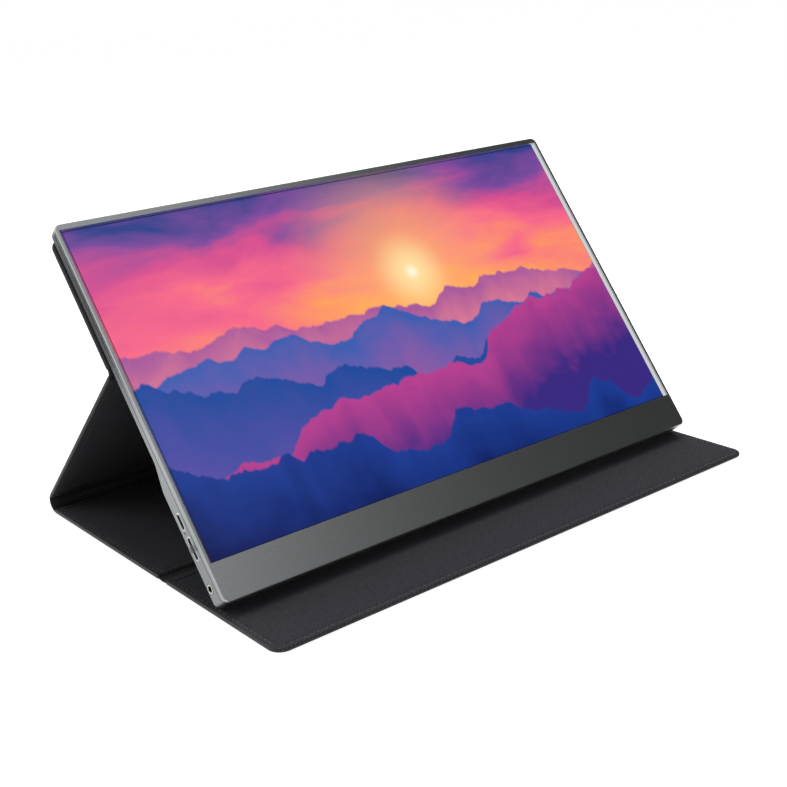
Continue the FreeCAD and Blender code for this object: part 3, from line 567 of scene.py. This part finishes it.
class Sketch:
    """A mesh in the making, in millimetres, with a flat map for its pattern."""

    def __init__(self) -> None:
        """Start with nothing drawn."""
        self.bm = bmesh.new()
        self.flat = self.bm.loops.layers.uv.new("flat")

    def outline(self, x_span: Pair, y_span: Pair, z: float, radii: Pair, steps: int = 8) -> Loop:
        """Draw a rounded rectangle as a closed loop of edges.

        Args:
            x_span: Its extent across.
            y_span: Its extent along.
            z: Its height.
            radii: Corner radii at the lower and the upper end.
            steps: Segments of each corner.

        Returns:
            The loop's edges.
        """
        middle = Vector((sum(x_span) / 2, sum(y_span) / 2, z))
        size = Matrix.Diagonal(((x_span[1] - x_span[0]) / 2, (y_span[1] - y_span[0]) / 2, 1, 1))
        made = bmesh.ops.create_grid(self.bm, x_segments=1, y_segments=1, size=1.0,
                                     matrix=Matrix.Translation(middle) @ size)
        known = set(self.bm.edges) - {edge for vert in made["verts"] for edge in vert.link_edges}
        for radius, low in ((radii[0], True), (radii[1], False)):
            corners = [v for v in made["verts"] if v.is_valid and (v.co.y < middle.y) == low]
            bmesh.ops.bevel(self.bm, geom=corners, offset=radius, offset_type="OFFSET", segments=steps,
                            profile=0.5, affect="VERTICES", material=-1)
        edges = [edge for edge in self.bm.edges if edge not in known]
        faces = list({face for edge in edges for face in edge.link_faces})
        bmesh.ops.delete(self.bm, geom=faces, context="FACES_ONLY")
        return edges

    def circle(self, radius: float, z: float, steps: int = 24, lobes: int = 0,
               lobe_depth: float = 0.0) -> Loop:
        """Draw a circle, or a lobed ring, as a closed loop of edges.

        Args:
            radius: Its radius.
            z: Its height.
            steps: Its segments.
            lobes: How many lobes it has.
            lobe_depth: How much of the radius a lobe takes.

        Returns:
            The loop's edges.
        """
        made = bmesh.ops.create_circle(self.bm, cap_ends=False, segments=steps, radius=radius,
                                       matrix=Matrix.Translation((0, 0, z)))
        for vert in made["verts"]:
            reach = 1 + lobe_depth * math.cos(lobes * math.atan2(vert.co.y, vert.co.x))
            vert.co.x *= reach
            vert.co.y *= reach
        return list({edge for vert in made["verts"] for edge in vert.link_edges})

    def loft(self, loops: Sequence[Loop], capped: bool = True) -> None:
        """Join loops in order into one skin; neighbours lie at different heights.

        Args:
            loops: Closed edge loops of equal count.
            capped: Whether the first and last loops are filled; else they are joined to each other.
        """
        for near, far in zip(loops, loops[1:]):
            bmesh.ops.bridge_loops(self.bm, edges=near + far)
        if capped:
            for loop in (loops[0], loops[-1]):
                bmesh.ops.contextual_create(self.bm, geom=loop)
        else:
            bmesh.ops.bridge_loops(self.bm, edges=loops[-1] + loops[0])

    def ease(self, edges: Loop, width: float, steps: int) -> None:
        """Round edges off.

        Args:
            edges: The edges.
            width: How far they are rounded.
            steps: Segments of the rounding.
        """
        bmesh.ops.bevel(self.bm, geom=edges, offset=width, offset_type="OFFSET", segments=steps, profile=0.5,
                        affect="EDGES", material=-1)

    def block(self, size: Triple, centre: Triple, ease: float, steps: int = 2) -> None:
        """Draw a block with eased edges.

        Args:
            size: Its three sides.
            centre: Its middle.
            ease: How far its edges are rounded.
            steps: Segments of the rounding.
        """
        made = bmesh.ops.create_cube(self.bm, size=1.0,
                                     matrix=Matrix.Translation(centre) @ Matrix.Diagonal((*size, 1)))
        self.ease(list({edge for vert in made["verts"] for edge in vert.link_edges}), ease, steps)

    def slab(self, size: Triple, cuts: tuple[int, int], ease: float, steps: int = 3) -> None:
        """Draw a thin slab about the origin that is cut fine enough to bend, with eased rims.

        Args:
            size: Its sides across and along, and its thickness upwards from zero.
            cuts: Pieces across and along.
            ease: How far its rims are rounded.
            steps: Segments of the rounding.
        """
        bmesh.ops.create_grid(self.bm, x_segments=cuts[0], y_segments=cuts[1], size=0.5,
                              matrix=Matrix.Diagonal((size[0], size[1], 1, 1)))
        raised = bmesh.ops.extrude_face_region(self.bm, geom=self.bm.faces[:])
        verts = [item for item in raised["geom"] if isinstance(item, bmesh.types.BMVert)]
        bmesh.ops.translate(self.bm, verts=verts, vec=(0, 0, size[2]))
        bmesh.ops.recalc_face_normals(self.bm, faces=self.bm.faces)
        self.ease([edge for edge in self.bm.edges if edge.calc_face_angle(0) > SHARP_TURN], ease, steps)

    def repeat(self, count: int, step: Sequence[float]) -> None:
        """Copy all that is drawn so far into a row.

        Args:
            count: How many there are in the end.
            step: The way from one to the next.
        """
        faces = len(self.bm.faces)
        made = 1
        while made < count:
            more = min(made, count - made)
            copied = bmesh.ops.duplicate(self.bm, geom=self.bm.faces[:more * faces])
            verts = [item for item in copied["geom"] if isinstance(item, bmesh.types.BMVert)]
            bmesh.ops.translate(self.bm, verts=verts, vec=Vector(step) * made)
            made += more

    def move(self, placement: Matrix) -> None:
        """Move all that is drawn so far."""
        bmesh.ops.transform(self.bm, matrix=placement, verts=self.bm.verts)

    def join(self, other: "Sketch") -> None:
        """Take over another drawing.

        Args:
            other: The drawing, which is used up.
        """
        mesh = bpy.data.meshes.new("joined")
        other.bm.to_mesh(mesh)
        other.bm.free()
        self.bm.from_mesh(mesh)
        bpy.data.meshes.remove(mesh)

    def finish(self, name: str, finish: Finish, placement: Matrix, slot: str, body: Optional[Body] = None,
               stands_for: str = "", mapped: bool = False) -> bpy.types.Object:
        """Turn the drawing into a placed and dressed piece.

        Args:
            name: The piece's name.
            finish: Its finish.
            placement: Millimetres of the drawing to metres of the part's frame.
            slot: The part's slot that it belongs to; not used.
            body: The body that it rides on, if it rides on one alone.
            stands_for: The CAD node that it replaces, if any.
            mapped: Whether its flat map is there already.

        Returns:
            The piece.
        """
        bmesh.ops.remove_doubles(self.bm, verts=self.bm.verts, dist=WELD)
        bmesh.ops.recalc_face_normals(self.bm, faces=self.bm.faces)
        if not mapped:
            self.map_flat()
        self.move(placement)
        mesh = bpy.data.meshes.new(name)
        self.bm.to_mesh(mesh)
        self.bm.free()
        mesh.shade_smooth()
        mesh.set_sharp_from_angle(angle=SHARP_TURN)
        mesh.materials.append(finish.material())
        piece = bpy.data.objects.new(name, mesh)
        bpy.context.scene.collection.objects.link(piece)
        if body is not None:
            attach(piece, body.value)
        if stands_for:
            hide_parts(stands_for)
        LOG.info("built %s with %d faces", name, len(mesh.polygons))
        return piece

    def map_flat(self) -> None:
        """Store each corner's place across and along as its map, in metres."""
        for face in self.bm.faces:
            for loop in face.loops:
                loop[self.flat].uv = (loop.vert.co.x * MM, loop.vert.co.y * MM)


def dress_nodes(finishes: dict[Finish, Sequence[str]]) -> None:
    """Give CAD nodes their finishes.

    Args:
        finishes: The names of the nodes that each finish goes on.
    """
    for finish, names in finishes.items():
        for name in names:
            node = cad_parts[name]
            node.data.materials.clear()
            node.data.materials.append(finish.material())
            LOG.info("dressed %s in %s", name, finish.name)


@dataclass
class MonitorCase:
    """The monitor's shell, display and hidden inner pieces."""

    half_w: float = 176.1
    height: float = 220.0
    depth: float = 13.26
    corner_r: float = 4.0
    skirt: float = 3.0
    parting: float = 0.5
    gasket_sunk: float = 0.5
    gasket_w: float = 0.6
    gasket_slack: float = 0.02
    screw_x: Triple = (-125.0, 0.0, 125.0)
    screw_v: float = 7.5
    screw_rings: tuple[Pair, ...] = ((0.7, -6.9), (1.0, -6.6), (1.0, -0.92), (2.08, -0.9), (2.2, -0.8),
                                     (2.2, -0.2), (2.05, -0.05), (1.5, -0.02))
    drive_r: float = 1.0
    drive_lobes: int = 6
    drive_lobe: float = 0.16
    drive_depths: Pair = (0.03, 0.6)

    def build(self) -> None:
        """Dress the shell and the pieces inside, and add the gasket and the screws."""
        dress_nodes({
            FRAME_METAL: ("front_frame",),
            CASE_METAL: ("rear_cover",),
            DISPLAY: ("lcd_panel",),
            CLEAR_ACRYLIC: ("light_guide",),
            PAN_STEEL: ("panel_tray", "keeper_plates"),
            BOARD_LAMINATE: ("panel_driver_board", "side_board", "main_board", "led_bar"),
            RIBBON_FILM: ("link_ribbon", "display_ribbon"),
            BLACK_PLASTIC: ("speaker_left", "speaker_right"),
        })
        self.build_gasket()
        self.build_screws()

    def build_gasket(self) -> None:
        """Dark gasket in the groove where the frame meets the rear cover."""
        sketch = Sketch()
        loops = []
        inner = self.gasket_sunk + self.gasket_w
        back = self.skirt + self.parting
        for inset, depth in ((self.gasket_sunk, self.skirt), (self.gasket_sunk, back),
                             (inner, back - self.gasket_slack), (inner, self.skirt + self.gasket_slack)):
            half = self.half_w - inset
            corners = (self.corner_r - inset, self.corner_r - inset)
            loops.append(sketch.outline((-half, half), (inset, self.height - inset), -depth, corners))
        sketch.loft(loops, capped=False)
        sketch.finish("parting_gasket", BLACK_PLASTIC, SCREEN.placement, "control_plastic", Body.MONITOR)

    def build_screws(self) -> None:
        """Case screws with a lobed drive in their heads."""
        screws = Sketch()
        for x in self.screw_x:
            one = Sketch()
            loops = [one.circle(radius, height) for radius, height in self.screw_rings]
            for depth in self.drive_depths:
                loops.append(one.circle(self.drive_r, -depth, lobes=self.drive_lobes,
                                        lobe_depth=self.drive_lobe))
            one.loft(loops)
            one.move(Matrix.Translation((x, self.screw_v, -self.depth)) @ Matrix.Rotation(math.pi, 4, "X"))
            screws.join(one)
        screws.finish("case_screw_set", SCREW_STEEL, SCREEN.placement, "screw_steel", Body.MONITOR,
                      stands_for="case_screws")


@dataclass(frozen=True)
class Opening:
    """A rounded opening in a side wall: its middle, its length and height, and its corner radius."""

    side: Side
    v: float
    n: float
    length: float
    height: float
    corner_r: float
    wall_x: float = 176.1

    @property
    def axes(self) -> Matrix:
        """Its axes in the screen's: along V, back, and outwards from the wall's surface."""
        face = self.side.value
        turn = Matrix(((0, 0, face), (1, 0, 0), (0, face, 0))).to_4x4()
        return Matrix.Translation((face * self.wall_x, self.v, self.n)) @ turn


@dataclass
class SidePorts:
    """Sockets and the jog control in the side walls."""

    data_left: Opening = Opening(Side.LEFT, 48.7, -7.78, 9.2, 3.4, 1.5)
    jog_slot: Opening = Opening(Side.LEFT, 33.4, -7.56, 12.2, 3.0, 0.6)
    data_right: Opening = Opening(Side.RIGHT, 30.0, -7.78, 9.2, 3.4, 1.5)
    video: Opening = Opening(Side.RIGHT, 48.0, -7.76, 11.4, 3.4, 0.6)
    jack: Opening = Opening(Side.LEFT, 11.1, -8.86, 3.6, 3.6, 1.8)
    rim_rings: tuple[Pair, ...] = ((0.0, -0.12), (0.0, 0.06), (0.2, 0.16), (0.4, 0.14), (0.55, 0.02),
                                   (0.55, -0.1))
    rim_steps: int = 6
    tongue_half_t: float = 0.35
    contact_size: Triple = (0.26, 0.08, 2.4)
    contact_ease: float = 0.03
    contact_sunk: float = 4.2
    contact_pitch: float = 0.5
    contact_count: int = 12
    sleeve_size: Triple = (6.7, 1.0, 4.9)
    sleeve_ease: float = 0.15
    sleeve_sunk: float = 5.2
    jack_rings: tuple[Pair, ...] = ((1.85, -0.14), (1.85, 0.04), (2.0, 0.14), (2.5, 0.15), (2.7, 0.05),
                                    (2.7, -0.13))
    jack_steps: int = 40
    ridge_size: Triple = (0.36, 1.6, 0.3)
    ridge_ease: float = 0.14
    ridge_out: float = 1.3
    ridge_pitch: float = 0.8
    ridge_count: int = 3

    def build(self) -> None:
        """Dress the sockets and the controls and add their small pieces."""
        dress_nodes({
            SOCKET_STEEL: ("usb_c_port_left", "usb_c_port_right", "mini_hdmi_port"),
            BLACK_PLASTIC: ("usb_c_tongues", "audio_jack", "jog_switch", "jog_carrier"),
            LIGHT_PIPE: ("indicator_light",),
            CONTROL_PLASTIC: ("jog_wheel",),
        })
        self.build_rims()
        self.build_contacts()
        self.build_video_sleeve()
        self.build_jack_rim()
        self.build_jog_ridges()

    def build_rims(self) -> None:
        """Thin bright rims round the openings, which catch the light on their upper side."""
        rims = Sketch()
        for opening in (self.data_left, self.jog_slot, self.data_right, self.video):
            rim = Sketch()
            loops = []
            for spread, out in self.rim_rings:
                half_l, half_h = opening.length / 2 + spread, opening.height / 2 + spread
                corner = opening.corner_r + spread
                loops.append(rim.outline((-half_l, half_l), (-half_h, half_h), out, (corner, corner),
                                         self.rim_steps))
            rim.loft(loops, capped=False)
            rim.move(opening.axes)
            rims.join(rim)
        rims.finish("port_rims", SOCKET_STEEL, SCREEN.placement, "socket_steel", Body.MONITOR)

    def build_contacts(self) -> None:
        """Rows of gold contacts on both faces of the socket tongues."""
        contacts = Sketch()
        first = (1 - self.contact_count) / 2 * self.contact_pitch
        for opening in (self.data_left, self.data_right):
            for face in (-self.tongue_half_t, self.tongue_half_t):
                row = Sketch()
                row.block(self.contact_size, (first, face, -self.contact_sunk), self.contact_ease, steps=1)
                row.repeat(self.contact_count, (self.contact_pitch, 0, 0))
                row.move(opening.axes)
                contacts.join(row)
        contacts.finish("socket_contacts", GOLD_CONTACT, SCREEN.placement, "socket_steel", Body.MONITOR)

    def build_video_sleeve(self) -> None:
        """Moulded sleeve round the contact tongue of the small video socket."""
        sleeve = Sketch()
        sleeve.block(self.sleeve_size, (0, 0, -self.sleeve_sunk), self.sleeve_ease)
        sleeve.move(self.video.axes)
        sleeve.finish("video_socket_sleeve", BLACK_PLASTIC, SCREEN.placement, "socket_plastic", Body.MONITOR)

    def build_jack_rim(self) -> None:
        """Bright rolled rim at the mouth of the audio socket."""
        rim = Sketch()
        rim.loft([rim.circle(radius, out, self.jack_steps) for radius, out in self.jack_rings], capped=False)
        rim.move(self.jack.axes)
        rim.finish("jack_rim", SOCKET_STEEL, SCREEN.placement, "socket_steel", Body.MONITOR)

    def build_jog_ridges(self) -> None:
        """Grip ridges on the end of the jog knob."""
        ridges = Sketch()
        first = (1 - self.ridge_count) / 2 * self.ridge_pitch
        ridges.block(self.ridge_size, (first, 0, self.ridge_out), self.ridge_ease, steps=3)
        ridges.repeat(self.ridge_count, (self.ridge_pitch, 0, 0))
        ridges.move(self.jog_slot.axes)
        ridges.finish("jog_ridges", CONTROL_PLASTIC, SCREEN.placement, "control_plastic", Body.JOG_WHEEL)


@dataclass
class StitchRow:
    """A straight row of thread dashes."""

    begin: Vector
    end: Vector
    pitch: float = 4.2
    half_size: Triple = (1.45, 0.3, 0.16)
    sides: int = 8
    rings: int = 5

    def sew(self, sketch: Sketch, height: float) -> None:
        """Sew the row: one dash, copied along until the row is full.

        Args:
            sketch: The drawing that takes the row.
            height: How high the thread lies.
        """
        run = self.end - self.begin
        count = max(1, round(run.length / self.pitch))
        step = run / count
        turn = Matrix.Rotation(math.atan2(run.y, run.x), 4, "Z")
        place = Matrix.Translation(self.begin + step / 2 + Vector((0, 0, height))) @ turn
        row = Sketch()
        bmesh.ops.create_uvsphere(row.bm, u_segments=self.sides, v_segments=self.rings, radius=1.0,
                                  matrix=place @ Matrix.Diagonal((*self.half_size, 1)))
        row.repeat(count, step)
        sketch.join(row)


@dataclass
class CoverPanel:
    """One stiff panel of the folio: leather turned over a board, and a lining in the frame it leaves.

    The rings of the welt and the lining are an inset and a height each, the lining's from the welt's
    inner edge.
    """

    name: str
    body: Body
    length: float
    radii: Pair
    start: Pair
    turn_deg: float
    outer_seam: bool = False
    half_w: float = 177.6
    thickness: float = 2.4
    skin_t: float = 0.6
    edge_steps: int = 8
    least_r: float = 0.35
    wrap_gap: float = 0.05
    wrap_lap: float = 1.82
    welt_w: float = 4.5
    welt_top: float = 2.5
    welt_rings: tuple[Pair, ...] = ((2.0, 2.48), (3.4, 2.5), (4.1, 2.4), (4.42, 2.22), (4.5, 1.86))
    lining_rings: tuple[Pair, ...] = ((0.0, 1.8), (0.0, 2.18), (0.1, 2.27), (0.4, 2.3), (6.0, 2.34))
    stitch_inset: float = 2.9
    stitch_least_r: float = 0.5

    @property
    def placement(self) -> Matrix:
        """Flat millimetres to metres in the part's frame."""
        move = Matrix.Translation(Vector((0, *self.start)) * MM)
        turn = Matrix.Rotation(math.radians(self.turn_deg), 4, "X")
        return move @ turn @ Matrix.Scale(MM, 4) @ Matrix.Translation((0, 0, -self.thickness / 2))

    def cover(self, rings: Sequence[Pair], part: str, node: str, finish: Finish, slot: str) -> None:
        """Make one sheet of the panel, which stands for its CAD node and lies on the board.

        Args:
            rings: Insets and heights of the outlines that it runs through.
            part: The ending of its name.
            node: The ending of the node that it replaces.
            finish: Its finish.
            slot: The part's slot that it belongs to.
        """
        sketch = Sketch()
        loops = []
        for inset, z in rings:
            half = self.half_w - inset
            low, high = (max(radius - inset, self.least_r) for radius in self.radii)
            loops.append(sketch.outline((-half, half), (inset, self.length - inset), z, (low, high)))
        sketch.loft(loops)
        piece = sketch.finish(self.name + part, finish, self.placement, slot, self.body, self.name + node)

    def build_skin(self) -> None:
        """Leather wrap with a full round edge and a plump turned-over welt."""
        half_t = self.thickness / 2
        rings = []
        for step in range(self.edge_steps + 1):
            angle = math.pi * (step / self.edge_steps - 0.5)
            rings.append((half_t - half_t * math.cos(angle), half_t + half_t * math.sin(angle)))
        inside = half_t + self.wrap_gap
        rings += [*self.welt_rings, (inside, self.wrap_lap), (inside, self.skin_t)]
        self.cover(rings, "_leather", "_skin", COVER_LEATHER, "cover_skin")

    def build_lining(self) -> None:
        """Lining with a soft edge, a little below the welt."""
        edge = self.welt_w + self.wrap_gap
        rings = [(edge + inset, z) for inset, z in self.lining_rings]
        self.cover(rings, "_lining_sheet", "_lining", COVER_LINING, "cover_lining")

    def stitch_rows(self) -> Iterator[StitchRow]:
        """The straight rows of thread along the welt's four sides.

        Yields:
            One row after the other, round the panel.
        """
        half = self.half_w - self.stitch_inset
        low, high = (max(radius - self.stitch_inset, self.stitch_least_r) for radius in self.radii)
        s0, s1 = self.stitch_inset, self.length - self.stitch_inset
        yield StitchRow(Vector((low - half, s0, 0)), Vector((half - low, s0, 0)))
        yield StitchRow(Vector((half, s0 + low, 0)), Vector((half, s1 - high, 0)))
        yield StitchRow(Vector((half - high, s1, 0)), Vector((high - half, s1, 0)))
        yield StitchRow(Vector((-half, s1 - high, 0)), Vector((-half, s0 + low, 0)))

    def build_stitches(self) -> None:
        """Thread dashes sunk in the welt, and on the outer face of the panels that stand up."""
        sketch = Sketch()
        for row in self.stitch_rows():
            row.sew(sketch, self.welt_top)
            if self.outer_seam:
                row.sew(sketch, 0.0)
        sketch.finish(self.name + "_stitches", THREAD, self.placement, "cover_skin", self.body)

    def build(self) -> None:
        """Make the panel's pieces and dress its board."""
        self.build_skin()
        self.build_lining()
        self.build_stitches()
        dress_nodes({STIFF_BOARD: (self.name + "_board",)})


@dataclass
class CoverFold:
    """A soft strip of leather that bends between two panels about a fold axis."""

    name: str
    node: str
    bodies: tuple[Body, Body]
    axis: Pair
    radius: float
    arc_deg: Pair
    thickness: float
    joins: tuple[str, str]
    tail: float
    half_w: float = 177.0
    ease: float = 0.3
    cuts: tuple[int, int] = (40, 30)
    wrinkles: int = 5
    wrinkle: float = 0.05

    @property
    def sweep(self) -> float:
        """The angle it goes round by, in radians."""
        return math.radians(self.arc_deg[1] - self.arc_deg[0])

    @property
    def bend(self) -> float:
        """The length that goes round."""
        return self.radius * abs(self.sweep)

    def build(self) -> None:
        """Bend a slab round the axis, with short tails into the panels."""
        sketch = Sketch()
        sketch.slab((2 * self.half_w, self.bend + 2 * self.tail, abs(self.thickness)), self.cuts, self.ease)
        sketch.map_flat()
        for vert in sketch.bm.verts:
            vert.co = self.bent(vert.co)
        piece = sketch.finish(self.name, COVER_LEATHER, Matrix.Scale(MM, 4), "cover_skin",
                              stands_for=self.node, mapped=True)
        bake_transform(piece)

    def bent(self, flat: Vector) -> Vector:
        """Where a point of the flat strip lies once it is bent.

        Args:
            flat: The flat point, along measured from the strip's middle.

        Returns:
            The bent point.
        """
        along = flat.y + self.bend / 2
        share = min(max(along / self.bend, 0.0), 1.0)
        angle = math.radians(self.arc_deg[0]) + self.sweep * share
        spoke = Vector((0, math.cos(angle), math.sin(angle)))
        ahead = Vector((0, -math.sin(angle), math.cos(angle))) * math.copysign(1, self.sweep)
        over = min(along, 0.0) + max(along - self.bend, 0.0)
        crimp = self.wrinkle * math.sin(math.pi * share) * math.sin(math.tau * self.wrinkles * share)
        reach = self.radius + math.copysign(flat.z - crimp, self.thickness)
        return Vector((flat.x, self.axis[0], self.axis[1])) + spoke * reach + ahead * over


@dataclass
class FolioCover:
    """The folio cover: four stiff panels, two bends and the crease across the floor."""

    panels: tuple[CoverPanel, ...] = field(default_factory=lambda: (
        CoverPanel("flap", Body.BASE, 107.0, (8.0, 1.5), (-124.772, 1.2), 0.0),
        CoverPanel("floor", Body.BASE, 128.344, (1.5, 1.5), (-9.772, 1.2), 0.0),
        CoverPanel("strut", Body.STRUT, 145.981, (1.5, 1.5), (121.968, 9.870), 137.226, outer_seam=True),
        CoverPanel("back", Body.BACK, 78.0, (1.5, 6.0), (14.484, 113.055), 52.0, outer_seam=True),
    ))
    folds: tuple[CoverFold, ...] = field(default_factory=lambda: (
        CoverFold("rear_bend", "rear_fold", (Body.BASE, Body.STRUT), (118.572, 6.2), 6.1,
                  (-90.0, 47.226), thickness=-1.1, joins=("floor_leather", "strut_leather"), tail=2.2),
        CoverFold("upper_bend", "upper_fold", (Body.STRUT, Body.BACK), (16.848, 111.208), 1.9,
                  (227.226, 142.0), thickness=1.1, joins=("strut_leather", "back_leather"), tail=3.3),
    ))
    crease_y: Pair = (-17.772, -9.772)
    crease_half_w: float = 177.0
    crease_top: float = 1.15
    crease_t: float = 0.75
    crease_tuck: float = 2.0
    crease_sag: float = 0.35
    crease_ease: float = 0.2
    crease_cuts: tuple[int, int] = (40, 24)

    def build(self) -> None:
        """Make every piece of the cover."""
        for piece in (*self.panels, *self.folds):
            piece.build()
        self.build_crease()
        dress_nodes({MAGNET_METAL: ("cover_magnets",)})

    def build_crease(self) -> None:
        """Thin crease strip that sags a little between the two floor panels."""
        sketch = Sketch()
        low, high = self.crease_y
        width = high - low
        across, along = 2 * self.crease_half_w, width + 2 * self.crease_tuck
        sketch.slab((across, along, self.crease_t), self.crease_cuts, self.crease_ease)
        for vert in sketch.bm.verts:
            share = min(max(vert.co.y / width + 0.5, 0.0), 1.0)
            vert.co.y += (low + high) / 2
            vert.co.z += self.crease_top - self.crease_t - self.crease_sag * math.sin(math.pi * share) ** 2
        piece = sketch.finish("crease_strip", COVER_LEATHER, Matrix.Scale(MM, 4), "cover_skin", Body.BASE,
                              "crease_fold")


@dataclass(frozen=True)
class SoftBox:
    """A square lamp, in metres and watts, that may stay out of reflections."""

    name: str
    place: Triple
    aim: Triple
    size: float
    watts: float
    mirrored: bool = True

    def hang(self) -> None:
        """Hang the lamp and point it."""
        data = bpy.data.lights.new(self.name, "AREA")
        data.shape = "SQUARE"
        data.size = self.size
        data.energy = self.watts
        lamp = bpy.data.objects.new(self.name, data)
        lamp.location = self.place
        lamp.visible_glossy = self.mirrored
        lamp.rotation_mode = "QUATERNION"
        lamp.rotation_quaternion = (Vector(self.place) - Vector(self.aim)).to_track_quat("Z", "Y")
        bpy.context.scene.collection.objects.link(lamp)


@dataclass(frozen=True)
class Card:
    """A flat card of the set, in metres, lying or standing along the set's depth."""

    name: str
    place: Triple
    size: Pair
    upright: bool = False

    def put_up(self, paint: bpy.types.Material) -> bpy.types.Object:
        """Put the card up.

        Args:
            paint: Its material.

        Returns:
            The card.
        """
        turn = Matrix.Rotation(math.pi / 2 if self.upright else 0.0, 4, "Y")
        placement = Matrix.Translation(self.place) @ turn @ Matrix.Diagonal((*self.size, 1, 1))
        made = bmesh.new()
        bmesh.ops.create_grid(made, x_segments=1, y_segments=1, size=0.5, matrix=placement)
        mesh = bpy.data.meshes.new(self.name)
        made.to_mesh(mesh)
        made.free()
        mesh.materials.append(paint)
        card = bpy.data.objects.new(self.name, mesh)
        bpy.context.scene.collection.objects.link(card)
        return card


@dataclass
class Studio:
    """White floor, soft boxes, dark flags for the metal's reflections, and a camera at the photo's angle."""

    camera_place: Triple = (-456.958, -591.311, 308.498)
    azimuth: float = -38.07
    elevation: float = 22.01
    roll: float = -3.43
    lens: float = 59.407
    sensor_w: float = 36.0
    shift: Pair = (-0.02, 0.10)
    sky_light: float = 0.14
    white: str = "#ffffff"
    floor: Card = Card("studio_floor", (0, 0, -0.0001), (12.0, 12.0))
    floor_colour: str = "#c4c4c4"
    floor_lift: float = 0.92
    flag_colour: str = "#0c0c0c"
    flags: tuple[Card, ...] = (
        Card("right_flag", (1.1, -0.6, 0.95), (1.9, 3.6), upright=True),
        Card("front_flag", (0.2, -0.55, 0.001), (1.4, 0.8)),
        Card("rear_left_flag", (-0.65, 0.75, 0.001), (0.8, 0.9)),
    )
    lamps: tuple[SoftBox, ...] = (
        SoftBox("overhead_box", (0.85, 0.5, 1.05), (0, 0, 0.08), 0.9, 20.0, mirrored=False),
        SoftBox("front_strip", (0.5, -1.6, 0.14), (0, 0, 0.02), 0.7, 4.0, mirrored=False),
        SoftBox("left_box", (-1.2, 0.9, 0.6), (0, 0, 0.08), 0.9, 7.0),
    )

    def build_camera(self) -> None:
        """Set the camera where the photograph was taken from."""
        data = bpy.data.cameras.new("photo_camera")
        data.sensor_width = self.sensor_w
        data.lens = self.lens
        data.shift_x, data.shift_y = self.shift
        camera = bpy.data.objects.new("photo_camera", data)
        turn, rise = math.radians(self.azimuth), math.radians(self.elevation)
        back = Vector((math.sin(turn) * math.cos(rise), -math.cos(turn) * math.cos(rise), math.sin(rise)))
        camera.rotation_mode = "QUATERNION"
        camera.rotation_quaternion = (back.to_track_quat("Z", "Y")
                                      @ Quaternion((0, 0, 1), math.radians(self.roll)))
        camera.location = Vector(self.camera_place) * MM
        bpy.context.scene.collection.objects.link(camera)
        bpy.context.scene.camera = camera

    def seen_directly(self, tree: Tree) -> Socket:
        """One where a ray comes from the camera, a mirror or glass.

        Args:
            tree: The node tree that needs it.

        Returns:
            The socket with that number.
        """
        path = add_node(tree, "LightPath").node.outputs
        sharp = add_node(tree, "Math", (path["Is Camera Ray"], path["Is Glossy Ray"]), operation="ADD")
        return add_node(tree, "Math", (sharp, path["Is Transmission Ray"]), operation="ADD", use_clamp=True)

    def build_sky(self) -> None:
        """Even white surroundings that also fill the shadows."""
        world = bpy.data.worlds.new("white_studio")
        bpy.context.scene.world = world
        tree = clear_tree(world)
        power = add_node(tree, "MapRange", {"Value": self.seen_directly(tree), "To Min": self.sky_light})
        add_node(tree, "OutputWorld", [add_node(tree, "Background", (linear(self.white), power))])

    def build_floor(self) -> None:
        """Pale floor that is white to the eye and keeps a soft shadow."""
        paint = bpy.data.materials.new("white_studio_paint")
        tree = clear_tree(paint)
        pale = add_node(tree, "BsdfDiffuse", [linear(self.floor_colour)])
        lift = add_node(tree, "Math", (self.seen_directly(tree), self.floor_lift), operation="MULTIPLY")
        glow = add_node(tree, "Emission", (linear(self.white), lift))
        add_node(tree, "OutputMaterial", [add_node(tree, "AddShader", (pale, glow))])
        self.floor.put_up(paint)

    def build_flags(self) -> None:
        """Black cards beside the set that only the metal's reflections see."""
        paint = bpy.data.materials.new("black_flag_cloth")
        tree = clear_tree(paint)
        add_node(tree, "OutputMaterial", [add_node(tree, "BsdfDiffuse", [linear(self.flag_colour)])])
        for card in self.flags:
            flag = card.put_up(paint)
            flag.visible_camera = False
            flag.visible_diffuse = False
            flag.visible_transmission = False
            flag.visible_shadow = False

    def build(self) -> None:
        """Set up the camera, the floor and the light."""
        bpy.context.scene.view_settings.view_transform = "Standard"
        self.build_camera()
        self.build_sky()
        self.build_floor()
        self.build_flags()
        for lamp in self.lamps:
            lamp.hang()


def write_sizes() -> None:
    """Bring the scene's placements up to date."""
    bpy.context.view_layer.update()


def main() -> None:
    """Build every sub-assembly in order."""
    logging.basicConfig(level=logging.INFO, format="%(name)s: %(message)s")
    for assembly in (Studio(), MonitorCase(), SidePorts(), FolioCover()):
        assembly.build()
        LOG.info("%s is in place", type(assembly).__name__)
    write_sizes()


if __name__ == "__main__":
    main()
